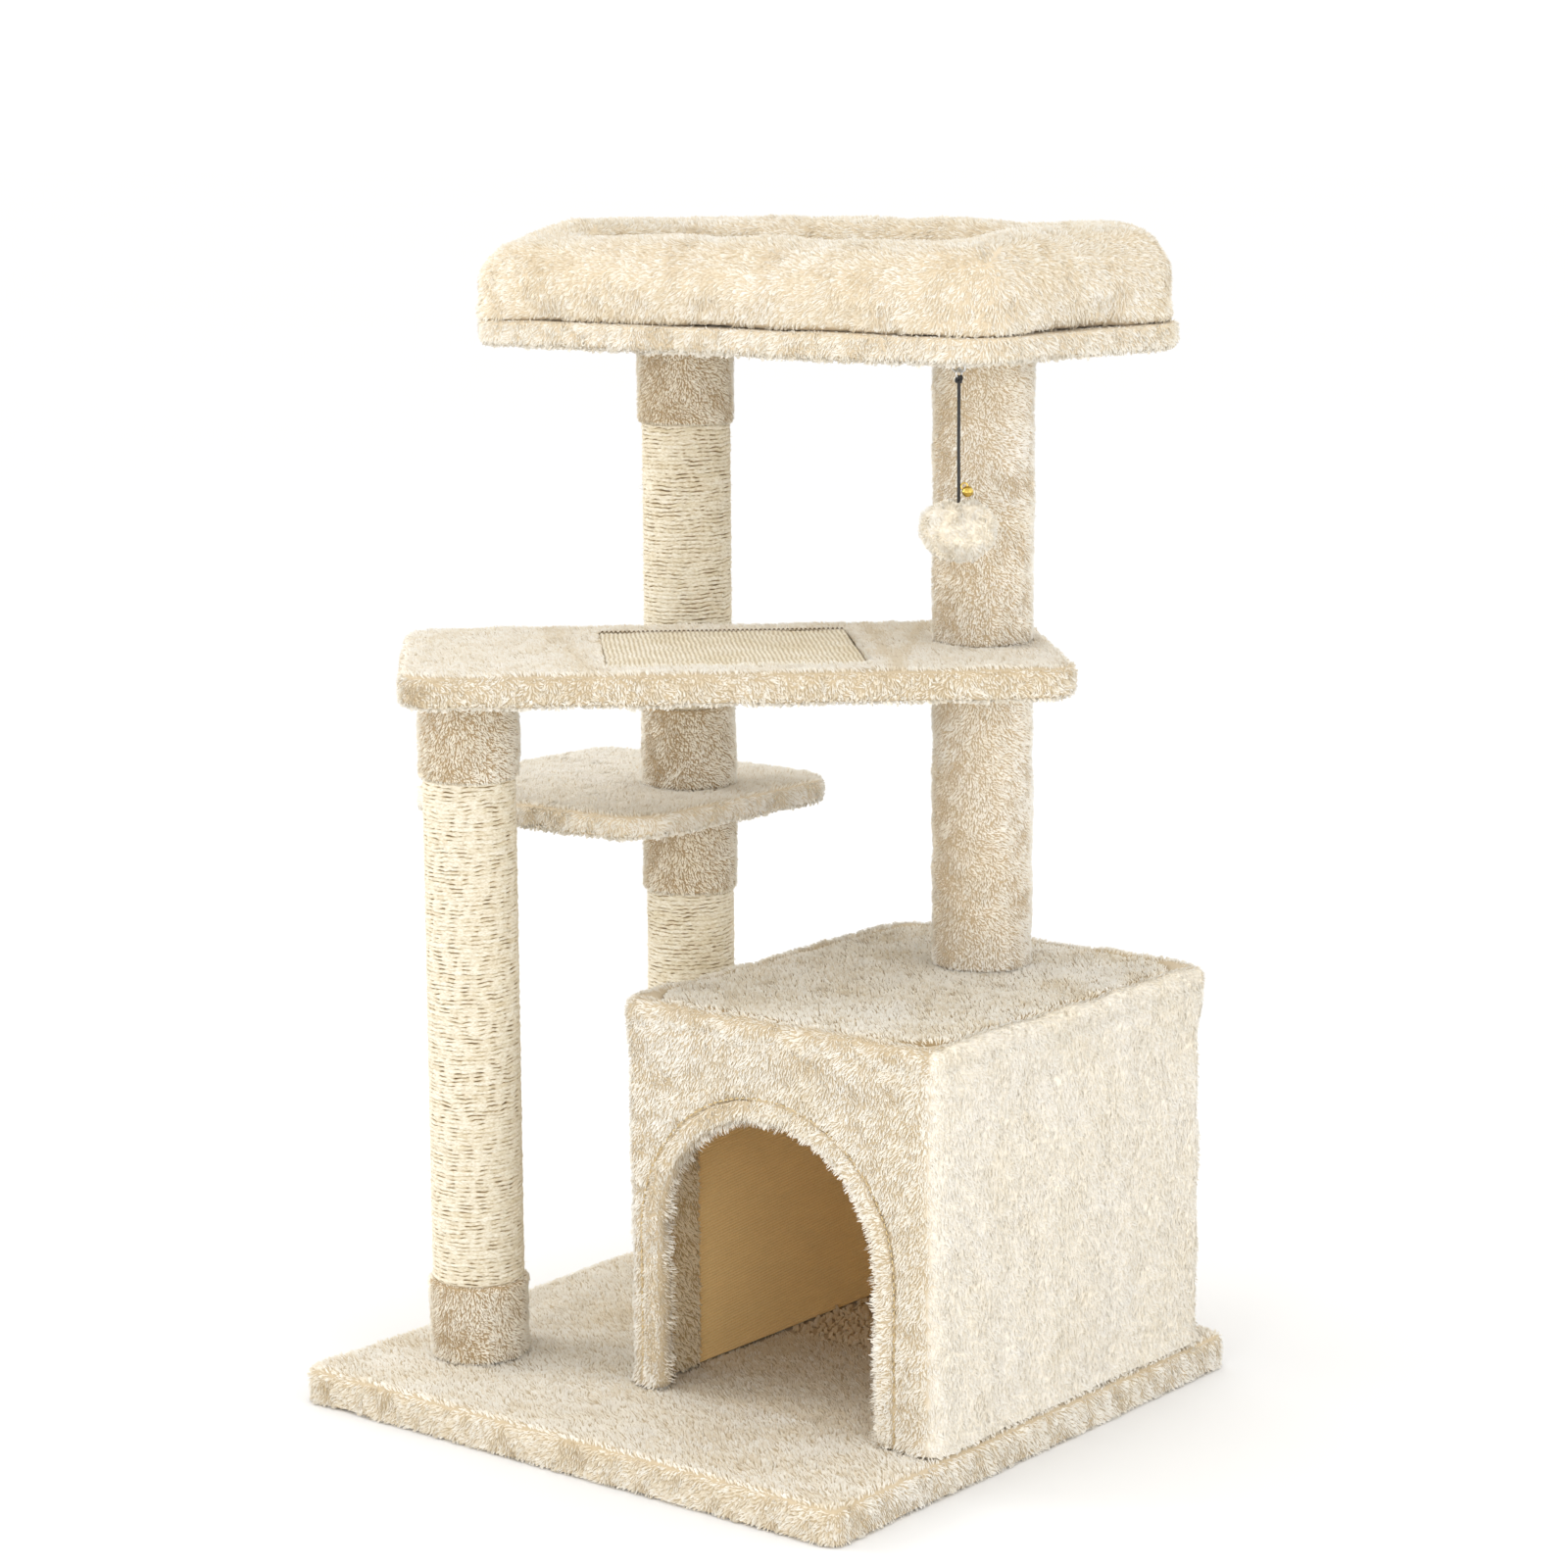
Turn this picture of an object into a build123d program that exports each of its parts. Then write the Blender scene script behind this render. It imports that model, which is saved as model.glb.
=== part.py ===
from build123d import *
import math
import os

os.makedirs("parts", exist_ok=True)

# Cat tree: plush base, arched condo, three posts, slanted shelf with a scratch
# mat, a side perch and a top perch that carries a stuffed rim bed.
# Millimetres. Origin: centre of the base's underside. +Z up, the condo's
# doorway faces -Y, +X to the right when facing the doorway.

# ---------------------------------------------------------------- dimensions
BASE_W, BASE_D, BASE_H, BASE_R = 480.0, 471.0, 28.0, 13.0
UNDER = 3.0            # hem and underlay thickness below the base board
PILE = 5.0             # plush thickness over a board
BASE_BOARD_T = 20.0

TUBE_RI, TUBE_RO = 25.5, 29.4       # cardboard core
SISAL_RI, SISAL_RO = 29.5, 33.3     # rope winding
BAND_RI, BAND_RO = 29.5, 36.8       # plush bands and sleeves
PLUG_R, PLUG_T = 25.4, 16.0         # end plug in each tube end

FRONT = (-163.0, -133.5)   # front-left post
BACK = (-163.0, 108.5)     # back-left post
RIGHT = (104.0, 114.5)     # right post, on the condo roof

CX0, CX1 = -31.0, 236.0    # condo, outside of the plush
CY0, CY1 = -123.5, 206.5
PANEL_T, LINING_T = 8.0, 1.2
PANEL_TOP, ROOF_T, ROOF_TOP = 290.0, 12.0, 307.0
SEAM_Z = 299.0             # where the wall plush meets the roof plush
DOOR_X, DOOR_HW, DOOR_TOP = 93.0, 95.0, 236.0
BIND_T, BIND_LIP = 5.0, 14.0
RETURN_DEEP = 46.0         # plush turned in along the side walls

SHELF_L, SHELF_W, SHELF_T, SHELF_R = 458.0, 252.0, 25.0, 28.0
SHELF_TOP = 540.0
SHELF_SHIFT = 10.0         # shelf centre line in front of the two posts' line
MAT = 178.0                # square scratch mat
MAT_SHIFT = 3.0            # mat centre in front of the shelf's centre line
MAT_T = 4.0

MID_W, MID_D, MID_T, MID_R = 240.0, 240.0, 20.0, 38.0
MID_C, MID_TOP = (-214.0, 88.5), 411.0

TOP_W, TOP_D, TOP_T, TOP_R = 468.0, 262.0, 20.0, 36.0
TOP_C, TOP_Z = (-35.5, 109.5), 742.0

RIM_W, RIM_D, RIM_R = 469.0, 263.0, 46.0      # bed's outside
HOLE_W, HOLE_D, HOLE_R = 336.0, 130.0, 40.0   # bed's hollow
RIM_TOP = 840.0
CUSHION_T = 24.0
REST_GAP = 0.3

HANG = (158.0, 10.5)       # toy's hanging point under the top perch
CROWN_Z = 737.0            # staple crown
STRING_R = 1.25
STRING_END = 640.0
BELL_Z, BELL_R, BELL_OFF = 656.0, 4.2, 6.0
POM_Z, POM_RX, POM_RZ = 630.5, 25.0, 21.0

BOLT_R, BOLT_HOLE = 4.0, 4.3
HEAD_R, HEAD_H = 6.5, 5.3
WASH_RO, WASH_RI, WASH_T = 9.0, 4.2, 1.6
SINK_R = 10.0
SCREW_R, SCREW_HEAD_R = 1.75, 3.5


# ------------------------------------------------------------------- helpers
def cyl(r, z0, z1, at=(0.0, 0.0)):
    return Pos(at[0], at[1], (z0 + z1) / 2) * Cylinder(r, z1 - z0)


def pipe(ri, ro, z0, z1, at):
    return cyl(ro, z0, z1, at) - cyl(ri, z0 - 1, z1 + 1, at)


def block(x0, x1, y0, y1, z0, z1):
    return Pos((x0 + x1) / 2, (y0 + y1) / 2, (z0 + z1) / 2) * Box(x1 - x0, y1 - y0, z1 - z0)


def plate(w, d, r, z0, z1, at=(0.0, 0.0), turn=0.0, top=0.0, bottom=0.0):
    """Flat slab with rounded corners, its top and bottom edges rounded over."""
    s = extrude(RectangleRounded(w, d, r), amount=z1 - z0)
    if top:
        s = fillet(s.edges().group_by(Axis.Z)[-1], top)
    if bottom:
        s = fillet(s.edges().group_by(Axis.Z)[0], bottom)
    return Pos(at[0], at[1], z0) * Rot(0, 0, turn) * s


def arch(hw, top_z, y0, y1, z0):
    """Doorway prism: straight jambs and a half-round head."""
    spring = top_z - hw
    body = block(DOOR_X - hw, DOOR_X + hw, y0, y1, z0, spring)
    head = Pos(DOOR_X, (y0 + y1) / 2, spring) * Rot(90, 0, 0) * Cylinder(hw, y1 - y0)
    return body + head


def hexbolt(at, head_z, tip_z):
    """Hexagon bolt; the head spans HEAD_H away from the tip."""
    down = tip_z < head_z
    h0 = head_z if down else head_z - HEAD_H
    head = Pos(at[0], at[1], h0) * extrude(RegularPolygon(HEAD_R, 6), amount=HEAD_H)
    return head + cyl(BOLT_R, min(head_z, tip_z), max(head_z, tip_z), at)


def washer(at, z0):
    return pipe(WASH_RI, WASH_RO, z0, z0 + WASH_T, at)


def save(name, *solids):
    shape = solids[0] if len(solids) == 1 else Compound(children=list(solids))
    export_step(shape, os.path.join("parts", name + ".step"))


# ---------------------------------------------------------------------- base
board_z0, board_z1 = UNDER, UNDER + BASE_BOARD_T
bw, bd, br = BASE_W - 2 * PILE, BASE_D - 2 * PILE, BASE_R - PILE
base_board = plate(bw, bd, br, board_z0, board_z1)
base_cover = plate(BASE_W, BASE_D, BASE_R, 0, BASE_H, top=8.0, bottom=2.5)
base_cover -= plate(bw, bd, br - 0.6, board_z0, board_z1)
under_w, under_d = BASE_W - 60.0, BASE_D - 60.0
base_cover -= block(-under_w / 2, under_w / 2, -under_d / 2, under_d / 2, -1, UNDER)
base_underlay = block(-under_w / 2, under_w / 2, -under_d / 2, under_d / 2, 0, UNDER)
SINK = 7.1
for p in (FRONT, BACK):
    base_board -= cyl(SINK_R, board_z0 - 1, board_z0 + SINK, p)
    base_board -= cyl(BOLT_HOLE, board_z0, board_z1 + 1, p)
    base_cover -= cyl(BOLT_HOLE, board_z1 - 1, BASE_H + 1, p)
    base_underlay -= cyl(SINK_R + 1.0, -1, UNDER + 1, p)
base_wash_z = board_z0 + SINK - WASH_T
base_bolts = [hexbolt(p, base_wash_z, BASE_H + 14.0) for p in (FRONT, BACK)]
washers = [washer(p, base_wash_z) for p in (FRONT, BACK)]

# --------------------------------------------------------------------- condo
px0, px1, py0, py1 = CX0 + PILE, CX1 - PILE, CY0 + PILE, CY1 - PILE
ix0, ix1, iy0, iy1 = px0 + PANEL_T, px1 - PANEL_T, py0 + PANEL_T, py1 - PANEL_T
door_cut = arch(DOOR_HW + BIND_T, DOOR_TOP + BIND_T, CY0 - 20, iy0 + 20, BASE_H - 1)

front_panel = block(px0, px1, py0, iy0, BASE_H, PANEL_TOP) - door_cut
back_panel = block(px0, px1, iy1, py1, BASE_H, PANEL_TOP)
left_panel = block(px0, ix0, iy0, iy1, BASE_H, PANEL_TOP)
right_panel = block(ix1, px1, iy0, iy1, BASE_H, PANEL_TOP)
roof_board = block(px0, px1, py0, py1, PANEL_TOP, PANEL_TOP + ROOF_T)

ccx, ccy = (CX0 + CX1) / 2, (CY0 + CY1) / 2
wall_cover = plate(CX1 - CX0, CY1 - CY0, 14.0, BASE_H, SEAM_Z, (ccx, ccy))
wall_cover -= block(px0, px1, py0, py1, BASE_H - 1, SEAM_Z + 1)
wall_cover -= door_cut
roof_cover = plate(CX1 - CX0 + 4, CY1 - CY0 + 4, 16.0, SEAM_Z, ROOF_TOP, (ccx, ccy), top=5.5)
roof_cover -= block(px0, px1, py0, py1, SEAM_Z - 1, PANEL_TOP + ROOF_T)

lining = block(ix0, ix1, iy0, iy1, BASE_H, PANEL_TOP)
lx0, lx1, ly0, ly1 = ix0 + LINING_T, ix1 - LINING_T, iy0 + LINING_T, iy1 - LINING_T
lining -= block(lx0, lx1, ly0, ly1, BASE_H - 1, PANEL_TOP - LINING_T)
lining -= door_cut

bind_y0 = CY0 - 3.0
binding = arch(DOOR_HW + BIND_T - 0.1, DOOR_TOP + BIND_T - 0.1, bind_y0, ly0, BASE_H)
binding += arch(DOOR_HW + BIND_LIP, DOOR_TOP + BIND_LIP, bind_y0, CY0, BASE_H)
binding -= arch(DOOR_HW, DOOR_TOP, CY0 - 30, ly0 + 30, BASE_H - 1)

return_l = block(lx0, lx0 + PILE, ly0, ly0 + RETURN_DEEP, BASE_H, 250.0)
return_r = block(lx1 - PILE, lx1, ly0, ly0 + RETURN_DEEP, BASE_H, 250.0)

mid_front, mid_back = (py0 + iy0) / 2, (iy1 + py1) / 2
mid_left, mid_right = (px0 + ix0) / 2, (ix1 + px1) / 2
floor_screws_at = [(-17.0, mid_front), (212.0, mid_front), (20.0, mid_back),
                   (185.0, mid_back), (mid_left, 40.0), (mid_right, 40.0)]
roof_screws_at = [(10.0, mid_front), (195.0, mid_front), (10.0, mid_back),
                  (195.0, mid_back), (mid_left, 42.0), (mid_right, 42.0)]
base_screws, roof_screws = [], []
for p in floor_screws_at:
    base_screws.append(cyl(SCREW_HEAD_R, board_z0, board_z0 + 2.5, p)
                       + cyl(SCREW_R, board_z0 + 1, BASE_H + 30, p))
    hole = cyl(SCREW_R + 0.1, board_z0, BASE_H + 30.5, p)
    base_board -= cyl(SCREW_HEAD_R + 0.1, board_z0 - 1, board_z0 + 2.5, p)
    base_board -= hole
    base_cover -= hole
    front_panel -= hole
    back_panel -= hole
    left_panel -= hole
    right_panel -= hole
roof_b1 = PANEL_TOP + ROOF_T
for p in roof_screws_at:
    roof_screws.append(cyl(SCREW_HEAD_R, roof_b1 - 2.5, roof_b1, p)
                       + cyl(SCREW_R, roof_b1 - 36, roof_b1 - 1, p))
    hole = cyl(SCREW_R + 0.1, roof_b1 - 36.5, roof_b1, p)
    roof_board -= cyl(SCREW_HEAD_R + 0.1, roof_b1 - 2.5, roof_b1 + 1, p)
    roof_board -= hole
    front_panel -= hole
    back_panel -= hole
    left_panel -= hole
    right_panel -= hole

roof_hole = cyl(BOLT_HOLE, PANEL_TOP - 5, ROOF_TOP + 5, RIGHT)
roof_board -= roof_hole
roof_cover -= roof_hole
lining -= roof_hole
roof_wash_z = PANEL_TOP - LINING_T - WASH_T
washers.append(washer(RIGHT, roof_wash_z))
roof_bolt = hexbolt(RIGHT, roof_wash_z, ROOF_TOP + 14.0)

# --------------------------------------------------------------------- shelf
run = (RIGHT[0] - FRONT[0], RIGHT[1] - FRONT[1])
span = math.hypot(*run)
ux, uy = run[0] / span, run[1] / span
turn = math.degrees(math.atan2(uy, ux))
shelf_c = ((FRONT[0] + RIGHT[0]) / 2 + 2.0 * ux + SHELF_SHIFT * uy,
           (FRONT[1] + RIGHT[1]) / 2 + 2.0 * uy - SHELF_SHIFT * ux)
mat_c = (shelf_c[0] + MAT_SHIFT * uy, shelf_c[1] - MAT_SHIFT * ux)
SHELF_Z0 = SHELF_TOP - SHELF_T
sb0, sb1 = SHELF_Z0 + PILE, SHELF_TOP - PILE
sw, sd, sr = SHELF_L - 2 * PILE, SHELF_W - 2 * PILE, SHELF_R - PILE
shelf_board = plate(sw, sd, sr, sb0, sb1, shelf_c, turn)
shelf_cover = plate(SHELF_L, SHELF_W, SHELF_R, SHELF_Z0, SHELF_TOP, shelf_c, turn, 8.0, 8.0)
shelf_cover -= plate(sw, sd, sr - 0.6, sb0, sb1, shelf_c, turn)
shelf_cover -= Pos(mat_c[0], mat_c[1], SHELF_TOP) * Rot(0, 0, turn) * Box(MAT + 0.4, MAT + 0.4, 2 * PILE)
scratch_mat = Pos(mat_c[0], mat_c[1], sb1 + MAT_T / 2) * Rot(0, 0, turn) * Box(MAT, MAT, MAT_T)
stud_hole = cyl(BOLT_HOLE, SHELF_Z0 - 1, SHELF_TOP + 1, RIGHT)
shelf_board -= stud_hole
shelf_cover -= stud_hole
shelf_wash_z = sb1 - SINK
shelf_board -= cyl(SINK_R, shelf_wash_z, sb1 + 1, FRONT)
shelf_board -= cyl(BOLT_HOLE, sb0 - 1, sb1, FRONT)
shelf_cover -= cyl(BOLT_HOLE, SHELF_Z0 - 1, sb0 + 1, FRONT)
washers.append(washer(FRONT, shelf_wash_z))
shelf_bolt = hexbolt(FRONT, shelf_wash_z + WASH_T, SHELF_Z0 - 13.0)

# ------------------------------------------------------------- middle perch
MID_Z0 = MID_TOP - MID_T
MID_PILE = 4.0
mb0, mb1 = MID_Z0 + MID_PILE, MID_TOP - MID_PILE
mid_board = plate(MID_W - 10, MID_D - 10, MID_R - 5, mb0, mb1, MID_C)
mid_cover = plate(MID_W, MID_D, MID_R, MID_Z0, MID_TOP, MID_C, 0, 7.0, 7.0)
mid_cover -= plate(MID_W - 10, MID_D - 10, MID_R - 5.6, mb0, mb1, MID_C)
mid_hole = cyl(BOLT_HOLE, MID_Z0 - 1, MID_TOP + 1, BACK)
mid_board -= mid_hole
mid_cover -= mid_hole

# ---------------------------------------------------------------- top perch
TOP_Z1 = TOP_Z + TOP_T
tb0, tb1 = TOP_Z + MID_PILE, TOP_Z1 - MID_PILE
top_board = plate(TOP_W - 10, TOP_D - 10, TOP_R - 5, tb0, tb1, TOP_C)
top_cover = plate(TOP_W, TOP_D, TOP_R, TOP_Z, TOP_Z1, TOP_C, 0, 7.0, 7.0)
top_cover -= plate(TOP_W - 10, TOP_D - 10, TOP_R - 5.6, tb0, tb1, TOP_C)
perch_wash_z = tb1 - SINK
perch_bolts = []
for p in (BACK, RIGHT):
    top_board -= cyl(SINK_R, perch_wash_z, tb1 + 1, p)
    top_board -= cyl(BOLT_HOLE, tb0 - 1, tb1, p)
    top_cover -= cyl(BOLT_HOLE, TOP_Z - 1, tb0 + 1, p)
    washers.append(washer(p, perch_wash_z))
    perch_bolts.append(hexbolt(p, perch_wash_z + WASH_T, TOP_Z - 12.0))

# --------------------------------------------------------------------- posts
posts = {
    "front_post": (FRONT, BASE_H, SHELF_Z0, 56.0, 67.0),
    "back_post_lower": (BACK, BASE_H, MID_Z0, 60.0, 61.0),
    "back_post_upper": (BACK, MID_TOP, TOP_Z, 60.0, 60.0),
    "right_post_lower": (RIGHT, ROOF_TOP, SHELF_Z0, None, None),
    "right_post_upper": (RIGHT, SHELF_TOP, TOP_Z, None, None),
}
plugs = []
for name, (at, z0, z1, low, high) in posts.items():
    save(name + "_tube", pipe(TUBE_RI, TUBE_RO, z0, z1, at))
    plugs += [pipe(BOLT_R + 0.1, PLUG_R, z0, z0 + PLUG_T, at),
              pipe(BOLT_R + 0.1, PLUG_R, z1 - PLUG_T, z1, at)]
    if low is None:
        save(name + "_sleeve", pipe(BAND_RI, BAND_RO, z0, z1, at))
    else:
        save(name + "_sisal", pipe(SISAL_RI, SISAL_RO, z0 + low, z1 - high, at))
        save(name + "_bands", pipe(BAND_RI, BAND_RO, z0, z0 + low, at),
             pipe(BAND_RI, BAND_RO, z1 - high, z1, at))
studs = [cyl(BOLT_R, MID_Z0 - 12, MID_TOP + 12, BACK),
         cyl(BOLT_R, SHELF_Z0 - 12, SHELF_TOP + 12, RIGHT)]

# ----------------------------------------------------------------------- bed
bed_z0 = TOP_Z1 + REST_GAP
rim = extrude(RectangleRounded(RIM_W, RIM_D, RIM_R), amount=RIM_TOP - bed_z0)
rim = fillet(rim.edges().group_by(Axis.Z)[-1], 32.0)
rim = fillet(rim.edges().group_by(Axis.Z)[0], 12.0)
hole = extrude(RectangleRounded(HOLE_W, HOLE_D, HOLE_R), amount=RIM_TOP - bed_z0 + 2)
bolster = Pos(TOP_C[0], TOP_C[1], bed_z0) * (rim - Pos(0, 0, -1) * hole)
cushion = plate(HOLE_W - 1, HOLE_D - 1, HOLE_R - 1, bed_z0, bed_z0 + CUSHION_T, TOP_C, 0, 8.0, 4.0)

# ----------------------------------------------------------------------- toy
# A staple under the top perch carries a wire ring; the knotted end of the
# elastic string hangs in the ring, so the toy swings both ways.
WIRE_R, LEG = 0.9, 5.0
hx, hy = HANG
wire = FilletPolyline((hx - LEG, hy, tb0 + 5), (hx - LEG, hy, CROWN_Z),
                      (hx + LEG, hy, CROWN_Z), (hx + LEG, hy, tb0 + 5), radius=2.0)
staple = sweep(Plane(origin=(hx - LEG, hy, tb0 + 5), z_dir=(0, 0, -1)) * Circle(WIRE_R), path=wire)
for s in (-1, 1):
    leg_at = (hx + s * LEG, hy)
    top_cover -= cyl(WIRE_R + 0.05, TOP_Z - 1, tb0 + 1, leg_at)
    top_board -= cyl(WIRE_R + 0.05, tb0 - 1, tb0 + 5.2, leg_at)
RING_R, RING_W = 3.2, 0.7
ring_z = CROWN_Z + WIRE_R + 0.3 - (RING_R - RING_W)
ring = Pos(hx, hy, ring_z) * Rot(0, 90, 0) * Torus(RING_R, RING_W)
ring_low = ring_z - RING_R
KNOT_R, KNOT_W = 2.6, 0.9
knot_z = ring_low + RING_W + 0.3 + KNOT_W - KNOT_R
string = Pos(hx, hy, knot_z) * Rot(90, 0, 0) * Torus(KNOT_R, KNOT_W)
string += cyl(STRING_R, STRING_END, knot_z - KNOT_R, HANG)
print("string hinge z", round(ring_low, 3), "string from", round(knot_z - KNOT_R, 2), "to", STRING_END)

bx, by = hx + BELL_OFF * math.cos(math.radians(38)), hy + BELL_OFF * math.sin(math.radians(38))
bell = Pos(bx, by, BELL_Z) * (Sphere(BELL_R) - Sphere(BELL_R - 0.6))
bell -= Pos(bx, by, BELL_Z - BELL_R) * Rot(0, 0, 38) * Box(6.4, 0.9, 5.0)
bell += Pos(hx, hy, BELL_Z) * Torus(2.0, 0.5)
pellet = Pos(bx, by, BELL_Z + 1.5) * Sphere(1.1)
half = Ellipse(POM_RX, POM_RZ) & Pos(POM_RX, 0) * Rectangle(2 * POM_RX, 4 * POM_RZ)
pom = Pos(hx, hy, POM_Z) * revolve(Plane.XZ * half, Axis.Z, 360)
pom -= cyl(STRING_R + 0.1, STRING_END - 0.5, POM_Z + POM_RZ + 5, HANG)

# ------------------------------------------------------------------- writing
save("base_board", base_board)
save("base_cover", base_cover)
save("base_underlay", base_underlay)
save("base_bolts", *base_bolts)
save("condo_front_panel", front_panel)
save("condo_back_panel", back_panel)
save("condo_left_panel", left_panel)
save("condo_right_panel", right_panel)
save("condo_roof_board", roof_board)
save("condo_wall_cover", wall_cover)
save("condo_roof_cover", roof_cover)
save("condo_lining", lining)
save("condo_door_binding", binding)
save("condo_door_returns", return_l, return_r)
save("condo_base_screws", *base_screws)
save("condo_roof_screws", *roof_screws)
save("roof_bolt", roof_bolt)
save("shelf_board", shelf_board)
save("shelf_cover", shelf_cover)
save("scratch_mat", scratch_mat)
save("shelf_bolt", shelf_bolt)
save("mid_perch_board", mid_board)
save("mid_perch_cover", mid_cover)
save("top_perch_board", top_board)
save("top_perch_cover", top_cover)
save("perch_bolts", *perch_bolts)
save("bolt_washers", *washers)
save("post_end_plugs", *plugs)
save("joining_studs", *studs)
save("bed_bolster", bolster)
save("bed_cushion", cushion)
save("toy_staple", staple)
save("toy_ring", ring)
save("toy_string", string)
save("toy_bell", bell)
save("toy_bell_pellet", pellet)
save("toy_pompom", pom)
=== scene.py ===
import math
import bpy
import numpy as np
from mathutils import Matrix, Vector
from mathutils.geometry import delaunay_2d_cdt


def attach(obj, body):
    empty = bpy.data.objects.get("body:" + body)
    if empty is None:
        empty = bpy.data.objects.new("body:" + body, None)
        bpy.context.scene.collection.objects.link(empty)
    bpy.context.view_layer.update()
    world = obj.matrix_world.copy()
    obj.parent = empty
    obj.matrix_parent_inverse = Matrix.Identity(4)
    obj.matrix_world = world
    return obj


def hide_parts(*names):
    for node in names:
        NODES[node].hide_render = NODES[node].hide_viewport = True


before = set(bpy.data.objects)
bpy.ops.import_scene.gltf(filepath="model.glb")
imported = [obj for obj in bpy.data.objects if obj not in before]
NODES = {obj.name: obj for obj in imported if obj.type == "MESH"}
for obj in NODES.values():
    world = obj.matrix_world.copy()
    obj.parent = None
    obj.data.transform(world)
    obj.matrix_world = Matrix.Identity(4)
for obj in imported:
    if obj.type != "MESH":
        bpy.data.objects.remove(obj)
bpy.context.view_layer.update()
SCENE = bpy.context.scene
MM = 0.001

# Lengths below are in millimetres, in the part's frame, until a mesh is made.
FRONT, BACK, RIGHT = (-163.0, -133.5), (-163.0, 108.5), (104.0, 114.5)
CX0, CX1, CY0, CY1 = -31.0, 236.0, -123.5, 206.5
DOOR_X, DOOR_HW, DOOR_TOP = 93.0, 95.0, 236.0
SPRING = DOOR_TOP - DOOR_HW
SHELF_AT, SHELF_TURN = (-21.25, -15.45), 42.89
MAT_AT, MAT = (-19.2, -17.65), 178.0
HANG = (158.0, 10.5)

# ------------------------------------------------------------------- camera
az, el, roll = math.radians(38.5), math.radians(9.84), math.radians(-0.31)
back = Vector((math.sin(az) * math.cos(el), -math.cos(az) * math.cos(el), math.sin(el)))
right = Vector((math.cos(az), math.sin(az), 0.0))
up = back.cross(right)
side = right * math.cos(roll) + up * math.sin(roll)
top = up * math.cos(roll) - right * math.sin(roll)
cam = bpy.data.objects.new("camera", bpy.data.cameras.new("camera"))
SCENE.collection.objects.link(cam)
cam.data.sensor_width = 36.0
cam.data.lens = 89.49
cam.data.clip_start, cam.data.clip_end = 0.05, 200.0
place = Vector((14.30, 0.28, 442.5)) * MM + back * 2.7444
cam.matrix_world = Matrix((
    (side.x, top.x, back.x, place.x),
    (side.y, top.y, back.y, place.y),
    (side.z, top.z, back.z, place.z),
    (0, 0, 0, 1)))
SCENE.camera = cam


# ------------------------------------------------------------ small geometry
def wave(p, size, seed, n=10):
    """Smooth noise of about unit size whose bumps are `size` across."""
    r = np.random.default_rng(seed)
    k = r.normal(size=(n, 3))
    k /= np.linalg.norm(k, axis=1)[:, None]
    k *= (2 * math.pi / size) * r.uniform(0.65, 1.5, (n, 1))
    return np.sin(p @ k.T + r.uniform(0, 2 * math.pi, n)).sum(1) * math.sqrt(2 / n)


def unit(v):
    return v / np.maximum(np.linalg.norm(v, axis=-1, keepdims=True), 1e-9)


def face_normals(v, f):
    return np.cross(v[f[:, 1]] - v[f[:, 0]], v[f[:, 2]] - v[f[:, 0]])


def normals(v, f):
    n = face_normals(v, f)
    out = np.zeros_like(v)
    for k in range(3):
        for c in range(3):
            out[:, c] += np.bincount(f[:, k], n[:, c], len(v))
    return unit(out)


def join(*parts):
    vs, fs, at = [], [], 0
    for v, f in parts:
        vs.append(v)
        fs.append(f + at)
        at += len(v)
    return np.vstack(vs), np.vstack(fs)


def rounded(w, d, r, step):
    """Outline of a rounded rectangle about the origin, anticlockwise, and its outward directions."""
    p, n = [], []
    for cx, cy, a0 in ((1, -1, -90), (1, 1, 0), (-1, 1, 90), (-1, -1, 180)):
        k = max(4, math.ceil(r * math.pi / 2 / step))
        for i in range(k + 1):
            a = math.radians(a0 + 90 * i / k)
            d0 = np.array((math.cos(a), math.sin(a)))
            p.append(np.array((cx * (w / 2 - r), cy * (d / 2 - r))) + r * d0)
            n.append(d0)
        length = (d if cx * cy < 0 else w) - 2 * r
        nx = {(1, -1): (1, 1), (1, 1): (-1, 1), (-1, 1): (-1, -1), (-1, -1): (1, -1)}[(cx, cy)]
        d1 = np.array((math.cos(math.radians(a0 + 90)), math.sin(math.radians(a0 + 90))))
        q0, q1 = p[-1], np.array((nx[0] * (w / 2 - r), nx[1] * (d / 2 - r))) + r * d1
        m = max(1, round(length / step))
        for i in range(1, m):
            p.append(q0 + (q1 - q0) * i / m)
            n.append(d1)
    return np.array(p), np.array(n)


def inside(p, loop):
    x, y = p[:, 0], p[:, 1]
    hit = np.zeros(len(p), bool)
    nxt = np.roll(loop, -1, 0)
    for (x0, y0), (x1, y1) in zip(loop, nxt):
        if y0 != y1:
            hit ^= ((y0 > y) != (y1 > y)) & (x < (x1 - x0) * (y - y0) / (y1 - y0) + x0)
    return hit


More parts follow.
